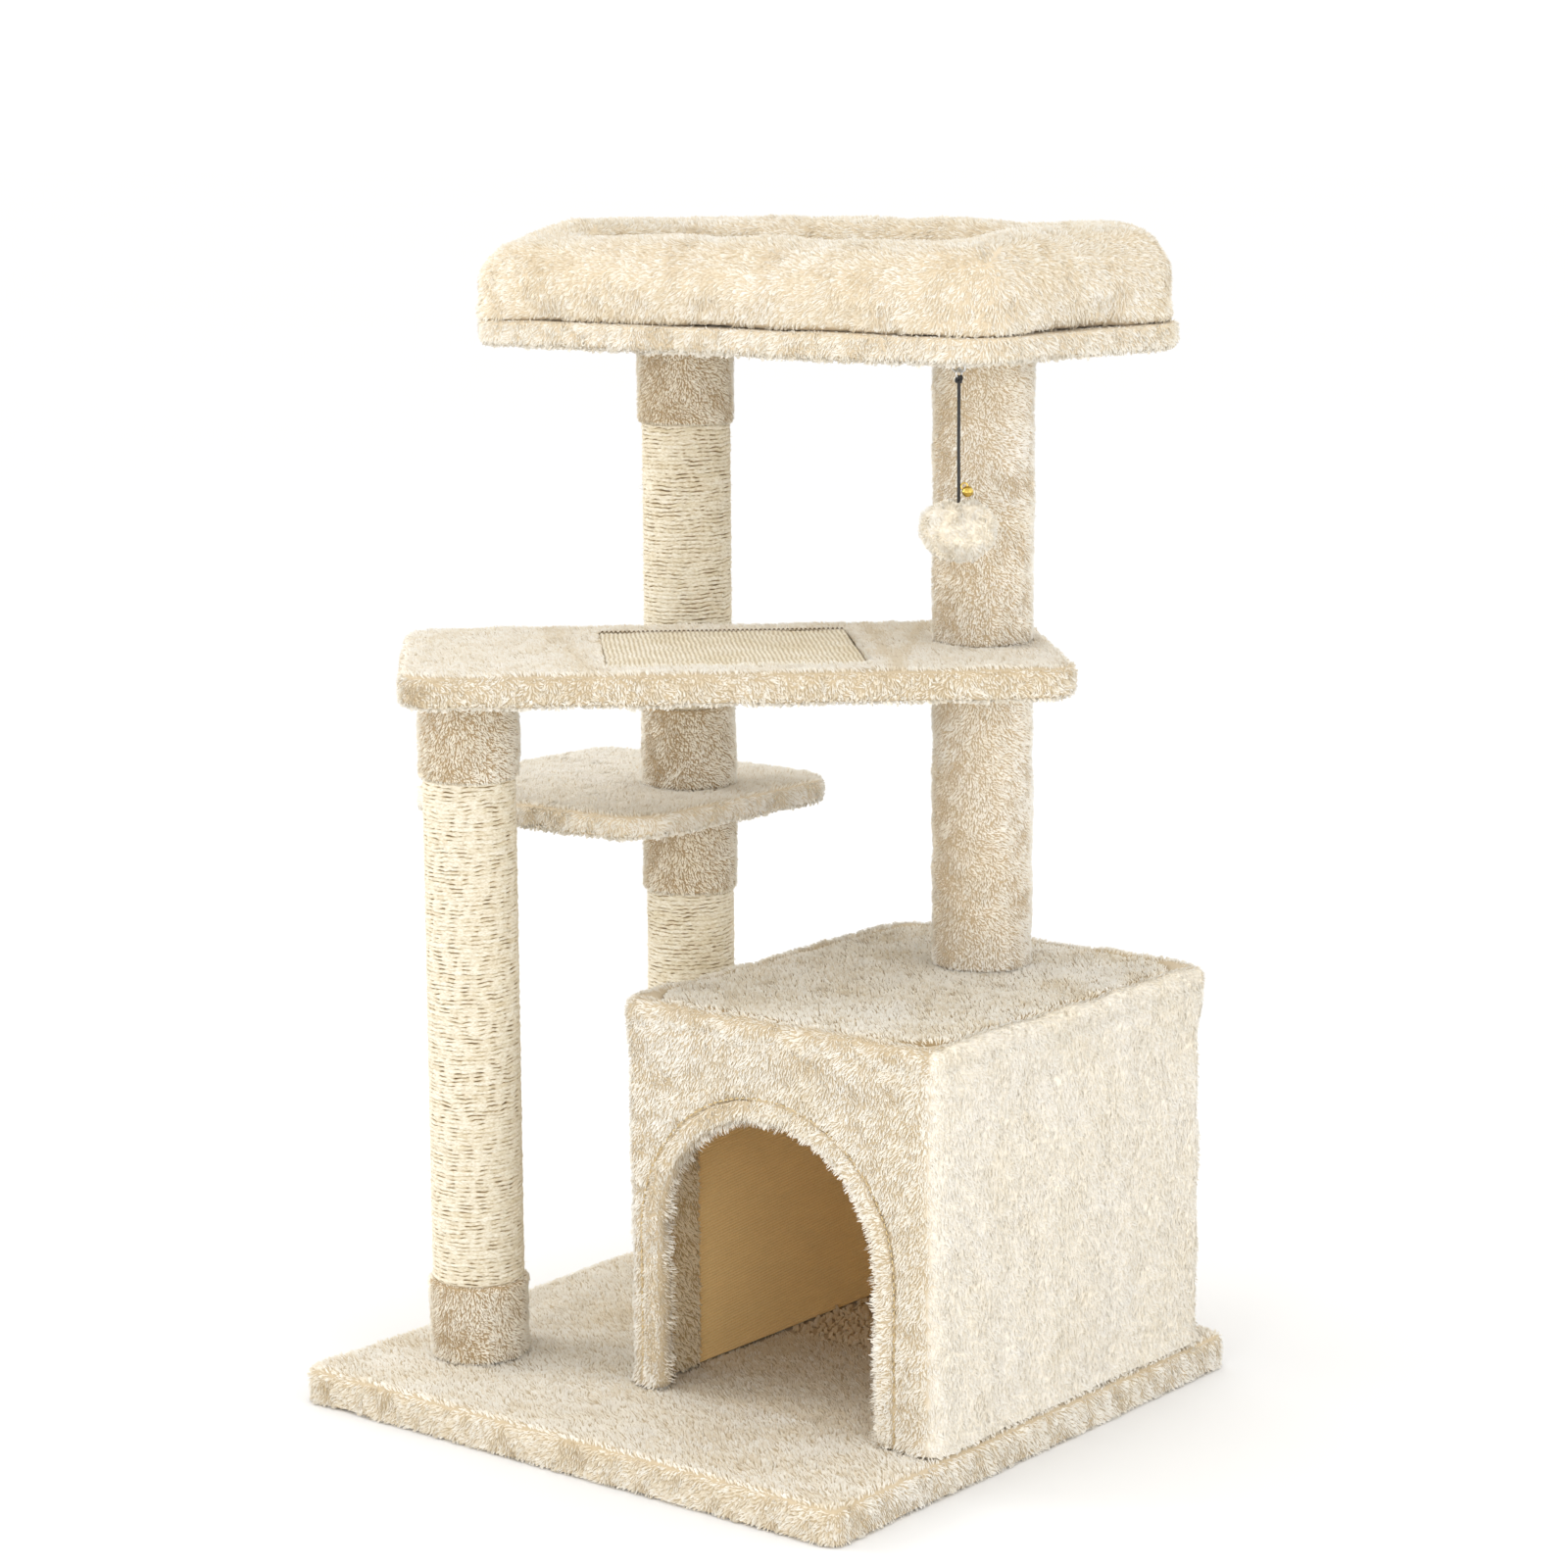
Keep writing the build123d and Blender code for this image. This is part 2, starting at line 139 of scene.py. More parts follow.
def fill(loops, step, seed=1):
    """Triangles over the first loop less the others. The loops' own points come first."""
    r = np.random.default_rng(seed)
    lo, hi = loops[0].min(0), loops[0].max(0)
    rows = np.arange(lo[1] + step * 0.4, hi[1], step * 0.866)
    g = np.array([(x + (j % 2) * step / 2, y) for j, y in enumerate(rows)
                  for x in np.arange(lo[0] + step * 0.3, hi[0], step)]).reshape(-1, 2)
    g += r.uniform(-0.16, 0.16, g.shape) * step
    edge = np.vstack(loops)
    keep = inside(g, loops[0])
    for h in loops[1:]:
        keep &= ~inside(g, h)
    g = g[keep]
    gap = np.full(len(g), 1e9)
    for e in edge:
        gap = np.minimum(gap, ((g - e) ** 2).sum(1))
    g = g[gap > (0.6 * step) ** 2]
    pts = np.vstack((edge, g))
    lines, at = [], 0
    for loop in loops:
        m = len(loop)
        lines += [(at + i, at + (i + 1) % m) for i in range(m)]
        at += m
    v, _, f, origin, _, _ = delaunay_2d_cdt([Vector(p) for p in pts.tolist()], lines, [], 0, 1e-6)
    v, f = np.array(v, float), np.array([t for t in f if len(t) == 3], int)
    src = np.array([o[0] if o else -1 for o in origin])
    order = np.argsort(np.where(src < 0, len(pts) + 1, src), kind="stable")
    back_to = np.empty(len(order), int)
    back_to[order] = np.arange(len(order))
    v, f = v[order], back_to[f]
    mid = v[f].mean(1)
    keep = inside(mid, loops[0])
    for h in loops[1:]:
        keep &= ~inside(mid, h)
    f = f[keep]
    a, b = v[f[:, 1]] - v[f[:, 0]], v[f[:, 2]] - v[f[:, 0]]
    turn = a[:, 0] * b[:, 1] - a[:, 1] * b[:, 0]
    f[turn < 0] = f[turn < 0][:, ::-1]
    return v, f[np.abs(turn) > 1e-6]


def strips(rows, m, closed=True):
    """Triangles over `rows` rings of m points each; the ring runs anticlockwise about the outside."""
    f = []
    for j in range(rows - 1):
        i = np.arange(m if closed else m - 1)
        k = (i + 1) % m
        a, b, c, d = j * m + i, j * m + k, (j + 1) * m + k, (j + 1) * m + i
        f += [np.stack((a, b, c), 1), np.stack((a, c, d), 1)]
    return np.vstack(f)


def turned(v, at, turn):
    c, s = math.cos(math.radians(turn)), math.sin(math.radians(turn))
    out = v.copy()
    out[:, 0] = c * v[:, 0] - s * v[:, 1] + at[0]
    out[:, 1] = s * v[:, 0] + c * v[:, 1] + at[1]
    return out


def slab(w, d, r, z0, z1, at=(0, 0), turn=0.0, top=6.0, bottom=4.0, step=7.0, window=None):
    """Closed rounded slab. `window` is a loop left out of the top, whose floor lies 5 lower."""
    o, n = rounded(w, d, r, step)
    prof = [(bottom * (1 - math.sin(t)), z0 + bottom * (1 - math.cos(t))) for t in np.linspace(0, math.pi / 2, 4)]
    rows = max(1, round((z1 - top - z0 - bottom) / step))
    prof += [(0.0, z0 + bottom + (z1 - top - z0 - bottom) * i / rows) for i in range(1, rows + 1)]
    prof += [(top * (1 - math.cos(t)), z1 - top + top * math.sin(t)) for t in np.linspace(0, math.pi / 2, 5)[1:]]
    m = len(o)
    v = np.vstack([np.column_stack((o - n * i, np.full(m, z))) for i, z in prof])
    f = strips(len(prof), m)
    for inset, z, flip, at_row in ((prof[0][0], z0, True, 0), (prof[-1][0], z1, False, len(prof) - 1)):
        loops = [o - n * inset]
        if window is not None and not flip:
            loops.append(window)
        cv, cf = fill(loops, step)
        k = len(v)
        index = np.concatenate((at_row * m + np.arange(m), k + np.arange(len(cv) - m)))
        if flip:
            cf = cf[:, ::-1]
        v = np.vstack((v, np.column_stack((cv[m:], np.full(len(cv) - m, z)))))
        f = np.vstack((f, index[cf]))
        if len(loops) > 1:
            h = len(window)
            low = np.column_stack((window, np.full(h, z - 5.0)))
            fv, ff = fill([window], step)
            k2 = len(v)
            v = np.vstack((v, low, np.column_stack((fv[h:], np.full(len(fv) - h, z - 5.0)))))
            f = np.vstack((f, ff + k2))
            i = np.arange(h)
            j = (i + 1) % h
            f = np.vstack((f, np.stack((k2 + i, k2 + j, k + j), 1), np.stack((k2 + i, k + j, k + i), 1)))
    return turned(v, at, turn), f


def lathe(at, prof, seg):
    """A closed profile (radius, z), anticlockwise in the (r, z) plane, turned about a vertical axis."""
    a = np.linspace(0, 2 * math.pi, seg, endpoint=False)
    k = len(prof)
    v = np.vstack([np.column_stack((at[0] + r * np.cos(a), at[1] + r * np.sin(a), np.full(seg, z))) for r, z in prof])
    f = strips(k, seg)
    i = np.arange(seg)
    j = (i + 1) % seg
    last = (k - 1) * seg
    f = np.vstack((f, np.stack((last + i, last + j, j), 1), np.stack((last + i, j, i), 1)))
    return v, f


def sleeve(at, ri, ro, z0, z1, edge=3.0, step=5.0):
    e = edge
    prof = [(ri, z0), (ro - e, z0)]
    prof += [(ro - e + e * math.sin(t), z0 + e - e * math.cos(t)) for t in (0.5, 1.05, math.pi / 2)]
    rows = max(1, round((z1 - z0 - 2 * e) / step))
    prof += [(ro, z0 + e + (z1 - z0 - 2 * e) * i / rows) for i in range(1, rows + 1)]
    prof += [(ro - e + e * math.cos(t), z1 - e + e * math.sin(t)) for t in (0.5, 1.05, math.pi / 2)]
    prof += [(ri, z1)]
    return lathe(at, prof, max(24, round(2 * math.pi * ro / step)))


# ------------------------------------------------------------------ meshes
def make(name, v, f, mat, tip=None, tone=None, chart=None, uv=None, smooth=True, nrm=None):
    """One triangle mesh in metres, with its per-point values and a box-projected map named OFBake."""
    me = bpy.data.meshes.new(name)
    nv, nf = len(v), len(f)
    me.vertices.add(nv)
    me.vertices.foreach_set("co", (v * MM).astype(np.float32).ravel())
    me.loops.add(nf * 3)
    me.loops.foreach_set("vertex_index", f.astype(np.int32).ravel())
    me.polygons.add(nf)
    me.polygons.foreach_set("loop_start", np.arange(0, nf * 3, 3, dtype=np.int32))
    me.polygons.foreach_set("use_smooth", np.full(nf, smooth))
    me.update(calc_edges=True)
    for key, val in (("tip", tip), ("tone", tone)):
        if val is not None:
            me.attributes.new(key, "FLOAT", "POINT").data.foreach_set("value", val.astype(np.float32))
    if chart is None:
        n = face_normals(v, f)
        ax = np.abs(n).argmax(1)
        chart = ax * 2 + (np.take_along_axis(n, ax[:, None], 1)[:, 0] < 0)
    if uv is None:
        uv = v
    pts = uv[f]
    plane = np.array(((1, 2), (0, 2), (0, 1)))[chart // 2]
    ab = np.take_along_axis(pts, plane[:, None, :].repeat(3, 1), 2)
    out = np.zeros((nf, 3, 2))
    for c in range(6):
        pick = chart == c
        if not pick.any():
            continue
        q = ab[pick]
        lo, hi = q.reshape(-1, 2).min(0), q.reshape(-1, 2).max(0)
        size = np.maximum(hi - lo, 1e-6)
        k = min((1 / 3 - 0.02) / size[0], (1 / 2 - 0.02) / size[1])
        out[pick] = (q - lo) * k + np.array((c % 3 / 3 + 0.01, c // 3 / 2 + 0.01))
    me.uv_layers.new(name="OFBake").data.foreach_set("uv", out.astype(np.float32).ravel())
    me.materials.append(mat)
    me.validate()
    if nrm is not None:
        me.normals_split_custom_set(nrm.astype(np.float32).reshape(-1, 3))
    o = bpy.data.objects.new(name, me)
    SCENE.collection.objects.link(o)
    return o


def scatter(v, f, spacing, seed, keep=None):
    """Even points over a skin: places, normals."""
    r = np.random.default_rng(seed)
    n = normals(v, f)
    area = np.linalg.norm(face_normals(v, f), axis=1) / 2
    if keep is not None:
        area = np.where(keep(v[f].mean(1), unit(face_normals(v, f))), area, 0)
    total = area.sum()
    m = int(total / spacing ** 2)
    t = (np.arange(m) + r.random(m)) * total / m
    tri = np.minimum(np.searchsorted(np.cumsum(area), t), len(f) - 1)
    i = np.arange(m)
    a, b = (0.37 + i * 0.7548776662466927) % 1, (0.71 + i * 0.5698402909980532) % 1
    over = a + b > 1
    a, b = np.where(over, 1 - a, a), np.where(over, 1 - b, b)
    w = np.stack((1 - a - b, a, b), 1)[:, :, None]
    return (v[f[tri]] * w).sum(1), unit((n[f[tri]] * w).sum(1))


def thinned(p, n, pick, share, seed):
    """A part of the points that pick marks, evenly at random."""
    some = pick & (np.random.default_rng(seed).random(len(p)) < share)
    return p[some], n[some]


class Pelt:
    """A skin with real pile: short blunt locks that lean with the nap and gather in clumps."""

    def __init__(self):
        self.v, self.f, self.tip, self.tone, self.chart, self.uv, self.nrm, self.n = [], [], [], [], [], [], [], 0

    def add(self, v, f, tip, tone, chart, uv, nrm):
        self.v.append(v)
        self.nrm.append(nrm)
        self.f.append(f + self.n)
        self.tip.append(tip)
        self.tone.append(tone)
        self.chart.append(chart)
        self.uv.append(uv)
        self.n += len(v)

    def skin(self, v, f, tone=0.5, tip=0.0):
        n = face_normals(v, f)
        ax = np.abs(n).argmax(1)
        chart = ax * 2 + (np.take_along_axis(n, ax[:, None], 1)[:, 0] < 0)
        self.add(v, f, np.broadcast_to(np.array(tip, float), (len(v),)), np.full(len(v), tone), chart, v, normals(v, f)[f.ravel()])

    def pile(self, p, n, nap, long=4.0, wide=0.66, lean=56.0, swirl=0.4, clump=4.4, pull=0.45, seed=1, floor=None, vary=0.22,
             tone=0.55, spread=0.22, own=0.22, blunt=0.62):
        r = np.random.default_rng(seed)
        m = len(p)
        d = nap(p) if callable(nap) else np.broadcast_to(np.array(nap, float), p.shape)
        t = d - n * (d * n).sum(1)[:, None]
        flat = np.linalg.norm(t, axis=1) < 0.15
        t[flat] += np.cross(n[flat], np.array((0.31, 0.62, 0.72)))
        t = unit(t)
        b = np.cross(n, t)
        phi = swirl * (wave(p, 34, seed + 11) * 0.8 + wave(p, 13, seed + 12) * 0.7) + r.normal(0, 0.17, m)
        t, b = t * np.cos(phi)[:, None] + b * np.sin(phi)[:, None], b * np.cos(phi)[:, None] - t * np.sin(phi)[:, None]
        th = np.radians(np.clip(lean + 4 * wave(p, 14, seed + 13) + r.normal(0, 8, m), 5, 82))
        size = 1 + vary * wave(p, 9, seed + 14) * 0.6 + r.normal(0, vary * 0.55, m)
        size = np.clip(size, 0.45, 1.7)
        reach = (long * size)[:, None] * (n * np.cos(th)[:, None] + t * np.sin(th)[:, None])
        tips = p + reach
        warp = np.stack([wave(p, clump * 2.6, seed + 20 + k) for k in range(3)], 1) * clump * 0.45
        cell = np.floor((p + warp) / clump).astype(np.int64)
        key = (cell[:, 0] * 73856093) ^ (cell[:, 1] * 19349663) ^ (cell[:, 2] * 83492791)
        _, which = np.unique(key, return_inverse=True)
        count = np.bincount(which)
        mean = np.stack([np.bincount(which, tips[:, c]) / count for c in range(3)], 1)[which]
        tips = tips + pull * (mean - tips) * np.clip(1.2 - np.linalg.norm(mean - tips, axis=1) / (clump * 2), 0, 1)[:, None]
        rand = r.random(count.size)[which]
        wd = (wide * r.uniform(0.75, 1.25, m))[:, None]
        turn = r.normal(0, 0.30, m)[:, None]
        across = b * np.cos(turn) + n * np.sin(turn)
        ridge = n * np.cos(turn) - b * np.sin(turn)
        low = p - n * 0.45
        end = across * wd * blunt
        v = np.stack((low - across * wd, low + across * wd, low + ridge * wd * 0.75 - t * wd * 0.4, tips - end, tips + end), 1)
        if floor is not None:
            v[:, :, 2] = np.maximum(v[:, :, 2], floor)
        ax = np.abs(n).argmax(1)
        chart = ax * 2 + (np.take_along_axis(n, ax[:, None], 1)[:, 0] < 0)
        uv = p[:, None, :] + (v - p[:, None, :]) * 0.4
        tip = np.tile((0.0, 0.0, 0.0, 1.0, 1.0), m)
        tone = tone(p) if callable(tone) else tone
        tone = np.repeat(np.clip(tone + spread * (rand - 0.5) * 2 + r.normal(0, 0.10, m), 0, 1), 5)
        # each lock is lit mostly as the surface it lies on, as soft fibre is
        ends = np.stack((ridge * 0.5 - across, ridge * 0.5 + across, ridge, ridge + t * 0.35 - across * 0.4, ridge + t * 0.35 + across * 0.4), 1)
        ends = unit((1 - own) * n[:, None, :] + own * unit(ends))
        lee = unit(t + 0.15 * n)[:, None, :].repeat(6, 1)
        nrm = np.concatenate((ends[:, (0, 3, 2)], ends[:, (2, 3, 4)], ends[:, (1, 2, 4)], lee, -ends[:, (0, 2, 1)]), 1)
        one = np.array(((0, 3, 2), (2, 3, 4), (1, 2, 4), (0, 1, 4), (0, 4, 3), (0, 2, 1)))
        for a0 in range(0, m, 10000):
            a1 = min(m, a0 + 10000)
            f = (one[None] + np.arange(a1 - a0)[:, None, None] * 5).reshape(-1, 3)
            q = slice(a0 * 5, a1 * 5)
            self.add(v[a0:a1].reshape(-1, 3), f, tip[q], tone[q], np.repeat(chart[a0:a1], 6), uv[a0:a1].reshape(-1, 3), nrm[a0:a1].reshape(-1, 3))

    def build(self, name, mat, body, nodes=(), slot=None):
        """The pelt as one mesh, or as several where its pile is long."""
        groups, count = [[]], 0
        for k, f in enumerate(self.f):
            if groups[-1] and count + len(f) > 190000:
                groups.append([])
                count = 0
            groups[-1].append(k)
            count += len(f)
        made = []
        for g, ks in enumerate(groups):
            at, fs = 0, []
            for k in ks:
                fs.append(self.f[k] - self.f[k].min() + at)
                at += len(self.v[k])
            pick = lambda x: np.concatenate([x[k] for k in ks])
            o = make(name if g == 0 else "%s_%d" % (name, g + 1), pick(self.v), np.vstack(fs), mat, pick(self.tip), pick(self.tone),
                     pick(self.chart), pick(self.uv), nrm=pick(self.nrm))
            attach(o, body)
            if nodes:
                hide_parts(*nodes)
            made.append(o)
        return made


def soften(v, f, amount, size, seed):
    return v + normals(v, f) * (wave(v, size, seed) * amount)[:, None]


# --------------------------------------------------------------- materials
def nodes_of(name):
    mat = bpy.data.materials.new(name)
    mat.use_nodes = True
    tree = mat.node_tree
    return mat, tree, tree.nodes["Principled BSDF"]


def link(tree, a, b):
    tree.links.new(a, b)


def node(tree, kind, **inputs):
    n = tree.nodes.new(kind)
    for k, val in inputs.items():
        n.inputs[k.replace("_", " ")].default_value = val
    return n


def noise(tree, coord, scale, detail=3.0, rough=0.55, stretch=None):
    n = node(tree, "ShaderNodeTexNoise", Scale=scale, Detail=detail, Roughness=rough)
    if stretch is None:
        link(tree, coord, n.inputs["Vector"])
    else:
        mp = tree.nodes.new("ShaderNodeMapping")
        mp.inputs["Scale"].default_value = stretch
        link(tree, coord, mp.inputs["Vector"])
        link(tree, mp.outputs["Vector"], n.inputs["Vector"])
    return n.outputs["Fac"]


def ramp(tree, fac, *stops):
    n = tree.nodes.new("ShaderNodeValToRGB")
    e = n.color_ramp.elements
    while len(e) < len(stops):
        e.new(0.5)
    for x, (pos, col) in zip(e, stops):
        x.position = pos
        x.color = (*col, 1.0) if len(col) == 3 else col
    link(tree, fac, n.inputs["Fac"])
    return n.outputs["Color"]


def mixed(tree, kind, fac, a, b):
    n = tree.nodes.new("ShaderNodeMix")
    n.data_type = "RGBA"
    n.blend_type = kind
    if isinstance(fac, float):
        n.inputs[0].default_value = fac
    else:
        link(tree, fac, n.inputs[0])
    for s, x in ((n.inputs[6], a), (n.inputs[7], b)):
        if isinstance(x, tuple):
            s.default_value = (*x, 1.0)
        else:
            link(tree, x, s)
    return n.outputs[2]


def maths(tree, op, a, b):
    n = tree.nodes.new("ShaderNodeMath")
    n.operation = op
    for s, x in ((n.inputs[0], a), (n.inputs[1], b)):
        if isinstance(x, (int, float)):
            s.default_value = x
        else:
            link(tree, x, s)
    return n.outputs[0]


def attr(tree, name):
    n = tree.nodes.new("ShaderNodeAttribute")
    n.attribute_name = name
    return n.outputs["Fac"]


def bump(tree, bsdf, height, strength, distance):
    n = tree.nodes.new("ShaderNodeBump")
    n.inputs["Strength"].default_value = strength
    n.inputs["Distance"].default_value = distance
    link(tree, height, n.inputs["Height"])
    link(tree, n.outputs["Normal"], bsdf.inputs["Normal"])


def coords(tree):
    return tree.nodes.new("ShaderNodeTexCoord").outputs["Object"]


def plush(name, root, mid, tip, worn, dull=(0.90, 0.88, 0.84), sheen=0.2):
    """Short fleece: dark between the locks, which is painted shade at their roots, pale at their ends, with brushed
    patches.
    """
    mat, t, b = nodes_of(name)
    c = coords(t)
    # the dark root colour is painted shade between the locks; the mid and tip colours are the fleece's own
    along = ramp(t, attr(t, "tip"), (0.0, root), (0.35, mid), (1.0, tip))
    # tone holds random variation, and on some pieces painted light and shade set per face and region
    tone = ramp(t, attr(t, "tone"), (0.0, dull), (0.5, (0.97, 0.965, 0.95)), (1.0, (1.0, 1.0, 1.0)))
    col = mixed(t, "MULTIPLY", 1.0, along, tone)
    patch = ramp(t, noise(t, c, 17.0, 4.0, 0.6), (0.36, (0, 0, 0)), (0.66, (1, 1, 1)))
    col = mixed(t, "MULTIPLY", patch, col, worn)
    fine = ramp(t, noise(t, c, 240.0, 3.0, 0.6), (0.3, (0.92, 0.905, 0.87)), (0.62, (1.0, 1.0, 1.0)))
    col = mixed(t, "MULTIPLY", 0.8, col, fine)
    link(t, col, b.inputs["Base Color"])
    rough = ramp(t, noise(t, c, 90.0, 2.0), (0.3, (0.82,) * 3), (0.7, (0.97,) * 3))
    link(t, rough, b.inputs["Roughness"])
    b.inputs["Specular IOR Level"].default_value = 0.12
    b.inputs["Sheen Weight"].default_value = sheen
    b.inputs["Sheen Roughness"].default_value = 0.45
    b.inputs["Sheen Tint"].default_value = (1.0, 0.96, 0.88, 1.0)
    bump(t, b, noise(t, c, 1400.0, 2.0), 0.25, 0.0004)
    return mat


PLUSH = plush("plush_cream", (0.58, 0.48, 0.34), (0.895, 0.85, 0.765), (0.945, 0.92, 0.865), (0.98, 0.96, 0.915), (0.84, 0.77, 0.65))
# a copy of the cream plush for the condo's right-facing sides, with lighter roots and less contrast: painted light for
# the side the right lamp falls on
PLUSH_LIT_SIDE = plush("plush_lit_side", (0.68, 0.60, 0.47), (0.82, 0.775, 0.695), (0.885, 0.86, 0.805), (0.985, 0.97, 0.93), (0.88, 0.82, 0.71))
PLUSH_TAN = plush("plush_tan", (0.43, 0.32, 0.195), (0.955, 0.89, 0.77), (0.99, 0.965, 0.90), (0.98, 0.96, 0.91), (0.80, 0.725, 0.61))
PLUSH_SLEEVE = plush("plush_sleeve", (0.54, 0.43, 0.295), (0.965, 0.91, 0.815), (0.99, 0.97, 0.92), (0.985, 0.965, 0.92), (0.84, 0.78, 0.675))
PLUSH_ROOF = plush("plush_roof", (0.41, 0.305, 0.175), (0.96, 0.905, 0.80), (0.99, 0.97, 0.915), (0.985, 0.965, 0.92), (0.79, 0.72, 0.60))
# a darker, warmer copy of the plush for the doorway's returns: painted shade inside the doorway
PLUSH_DOOR_SHADE = plush("plush_inside", (0.52, 0.38, 0.21), (0.90, 0.77, 0.55), (0.96, 0.87, 0.69), (0.97, 0.94, 0.88), (0.78, 0.68, 0.52))
PLUSH_BED = plush("plush_bed", (0.72, 0.615, 0.465), (0.89, 0.84, 0.745), (0.95, 0.92, 0.86), (0.985, 0.97, 0.93), (0.86, 0.79, 0.67))


def sisal_mat():
    mat, t, b = nodes_of("sisal_rope")
    c = coords(t)
    # tip is the rope's height: down in the grooves between turns it runs to near black, which is painted shade
    crown = ramp(t, attr(t, "tip"), (0.0, (0.08, 0.045, 0.018)), (0.26, (0.36, 0.265, 0.145)), (0.52, (0.73, 0.655, 0.51)), (1.0, (0.845, 0.805, 0.70)))
    streak = ramp(t, noise(t, c, 480.0, 4.0, 0.65, (1.0, 1.0, 3.0)), (0.34, (0.66, 0.57, 0.42)), (0.56, (1.0, 1.0, 1.0)))
    col = mixed(t, "MULTIPLY", 0.7, crown, streak)
    tone = ramp(t, attr(t, "tone"), (0.0, (0.88, 0.84, 0.74)), (0.55, (0.98, 0.975, 0.955)), (1.0, (1.0, 1.0, 1.0)))
    col = mixed(t, "MULTIPLY", 1.0, col, tone)
    link(t, col, b.inputs["Base Color"])
    link(t, ramp(t, noise(t, c, 400.0, 2.0), (0.3, (0.62,) * 3), (0.7, (0.86,) * 3)), b.inputs["Roughness"])
    b.inputs["Specular IOR Level"].default_value = 0.25
    bump(t, b, noise(t, c, 900.0, 3.0, 0.6, (1.0, 1.0, 4.0)), 0.5, 0.0005)
    return mat


def weave_mat():
    mat, t, b = nodes_of("sisal_weave")
    c = coords(t)
    # tip is the weave's lift: in the hollows between strands it runs to near black, which is painted shade
    crown = ramp(t, attr(t, "tip"), (0.0, (0.20, 0.13, 0.05)), (0.42, (0.62, 0.53, 0.38)), (0.75, (0.84, 0.79, 0.68)), (1.0, (0.90, 0.865, 0.78)))
    streak = ramp(t, noise(t, c, 420.0, 4.0, 0.65), (0.30, (0.76, 0.70, 0.58)), (0.62, (1.0, 1.0, 1.0)))
    col = mixed(t, "MULTIPLY", 0.8, crown, streak)
    patch = ramp(t, noise(t, c, 30.0, 3.0), (0.35, (0.92, 0.89, 0.82)), (0.65, (1.0, 1.0, 1.0)))
    col = mixed(t, "MULTIPLY", 1.0, col, patch)
    link(t, col, b.inputs["Base Color"])
    link(t, ramp(t, noise(t, c, 500.0, 2.0), (0.3, (0.65,) * 3), (0.7, (0.9,) * 3)), b.inputs["Roughness"])
    bump(t, b, noise(t, c, 1600.0, 3.0), 0.4, 0.0004)
    return mat


def lining_mat():
    """Tan twill: fine diagonal ribs."""
    mat, t, b = nodes_of("lining_twill")
    c = coords(t)
    mp = t.nodes.new("ShaderNodeMapping")
    mp.inputs["Rotation"].default_value = (0.6, 0.75, 0.5)
    link(t, c, mp.inputs["Vector"])
    w = node(t, "ShaderNodeTexWave", Scale=190.0, Distortion=1.2, Detail=2.0, Detail_Scale=3.0)
    link(t, mp.outputs["Vector"], w.inputs["Vector"])
    rib = ramp(t, w.outputs["Fac"], (0.15, (0.92, 0.63, 0.27)), (0.7, (0.98, 0.73, 0.35)))
    cloud = ramp(t, noise(t, c, 24.0, 3.0), (0.3, (0.95, 0.945, 0.94)), (0.7, (1.0, 1.0, 1.0)))
    col = mixed(t, "MULTIPLY", 1.0, rib, cloud)
    grain = ramp(t, noise(t, c, 700.0, 3.0), (0.3, (0.88, 0.86, 0.82)), (0.6, (1.0, 1.0, 1.0)))
    link(t, mixed(t, "MULTIPLY", 0.8, col, grain), b.inputs["Base Color"])
    link(t, ramp(t, noise(t, c, 300.0), (0.3, (0.75,) * 3), (0.7, (0.92,) * 3)), b.inputs["Roughness"])
    b.inputs["Sheen Weight"].default_value = 0.15
    bump(t, b, w.outputs["Fac"], 0.5, 0.0005)
    return mat


def plain(name, dark, light, scale, rough, metal=0.0, stretch=None, bumpy=0.3, depth=0.0004, spec=0.5):
    mat, t, b = nodes_of(name)
    c = coords(t)
    n = noise(t, c, scale, 5.0, 0.62, stretch)
    fine = noise(t, c, scale * 6, 3.0, 0.6, stretch)
    col = ramp(t, n, (0.32, dark), (0.68, light))
    speck = ramp(t, fine, (0.32, (0.82, 0.80, 0.78)), (0.6, (1.0, 1.0, 1.0)))
    link(t, mixed(t, "MULTIPLY", 0.7, col, speck), b.inputs["Base Color"])
    link(t, ramp(t, fine, (0.3, (max(rough - 0.1, 0.05),) * 3), (0.7, (min(rough + 0.1, 1.0),) * 3)), b.inputs["Roughness"])
    b.inputs["Metallic"].default_value = metal
    b.inputs["Specular IOR Level"].default_value = spec
    bump(t, b, fine, bumpy, depth)
    return mat


SISAL, WEAVE, LINING = sisal_mat(), weave_mat(), lining_mat()
BOARD = plain("particle_board", (0.40, 0.27, 0.14), (0.62, 0.47, 0.29), 260.0, 0.75)
CARD = plain("spiral_card", (0.42, 0.30, 0.19), (0.55, 0.41, 0.27), 60.0, 0.8, stretch=(1.0, 1.0, 6.0))
PLUG = plain("moulded_plug", (0.05, 0.05, 0.05), (0.09, 0.09, 0.09), 180.0, 0.55)
STEEL = plain("zinc_steel", (0.50, 0.50, 0.49), (0.68, 0.68, 0.66), 220.0, 0.32, metal=1.0, bumpy=0.12, depth=0.0002)
UNDERLAY = plain("underlay_felt", (0.30, 0.28, 0.25), (0.45, 0.43, 0.39), 320.0, 0.95, bumpy=0.6)
BRASS = plain("bell_brass", (0.62, 0.42, 0.08), (0.86, 0.64, 0.18), 400.0, 0.24, metal=1.0, bumpy=0.1, depth=0.0001)
ELASTIC = plain("elastic_cord", (0.012, 0.012, 0.013), (0.035, 0.034, 0.033), 900.0, 0.7, stretch=(1.0, 1.0, 0.4), bumpy=0.6)
DARK_THREAD = plain("dark_thread", (0.10, 0.07, 0.03), (0.17, 0.12, 0.06), 900.0, 0.7)
THREAD = plain("seam_thread", (0.60, 0.44, 0.20), (0.78, 0.62, 0.34), 900.0, 0.6)

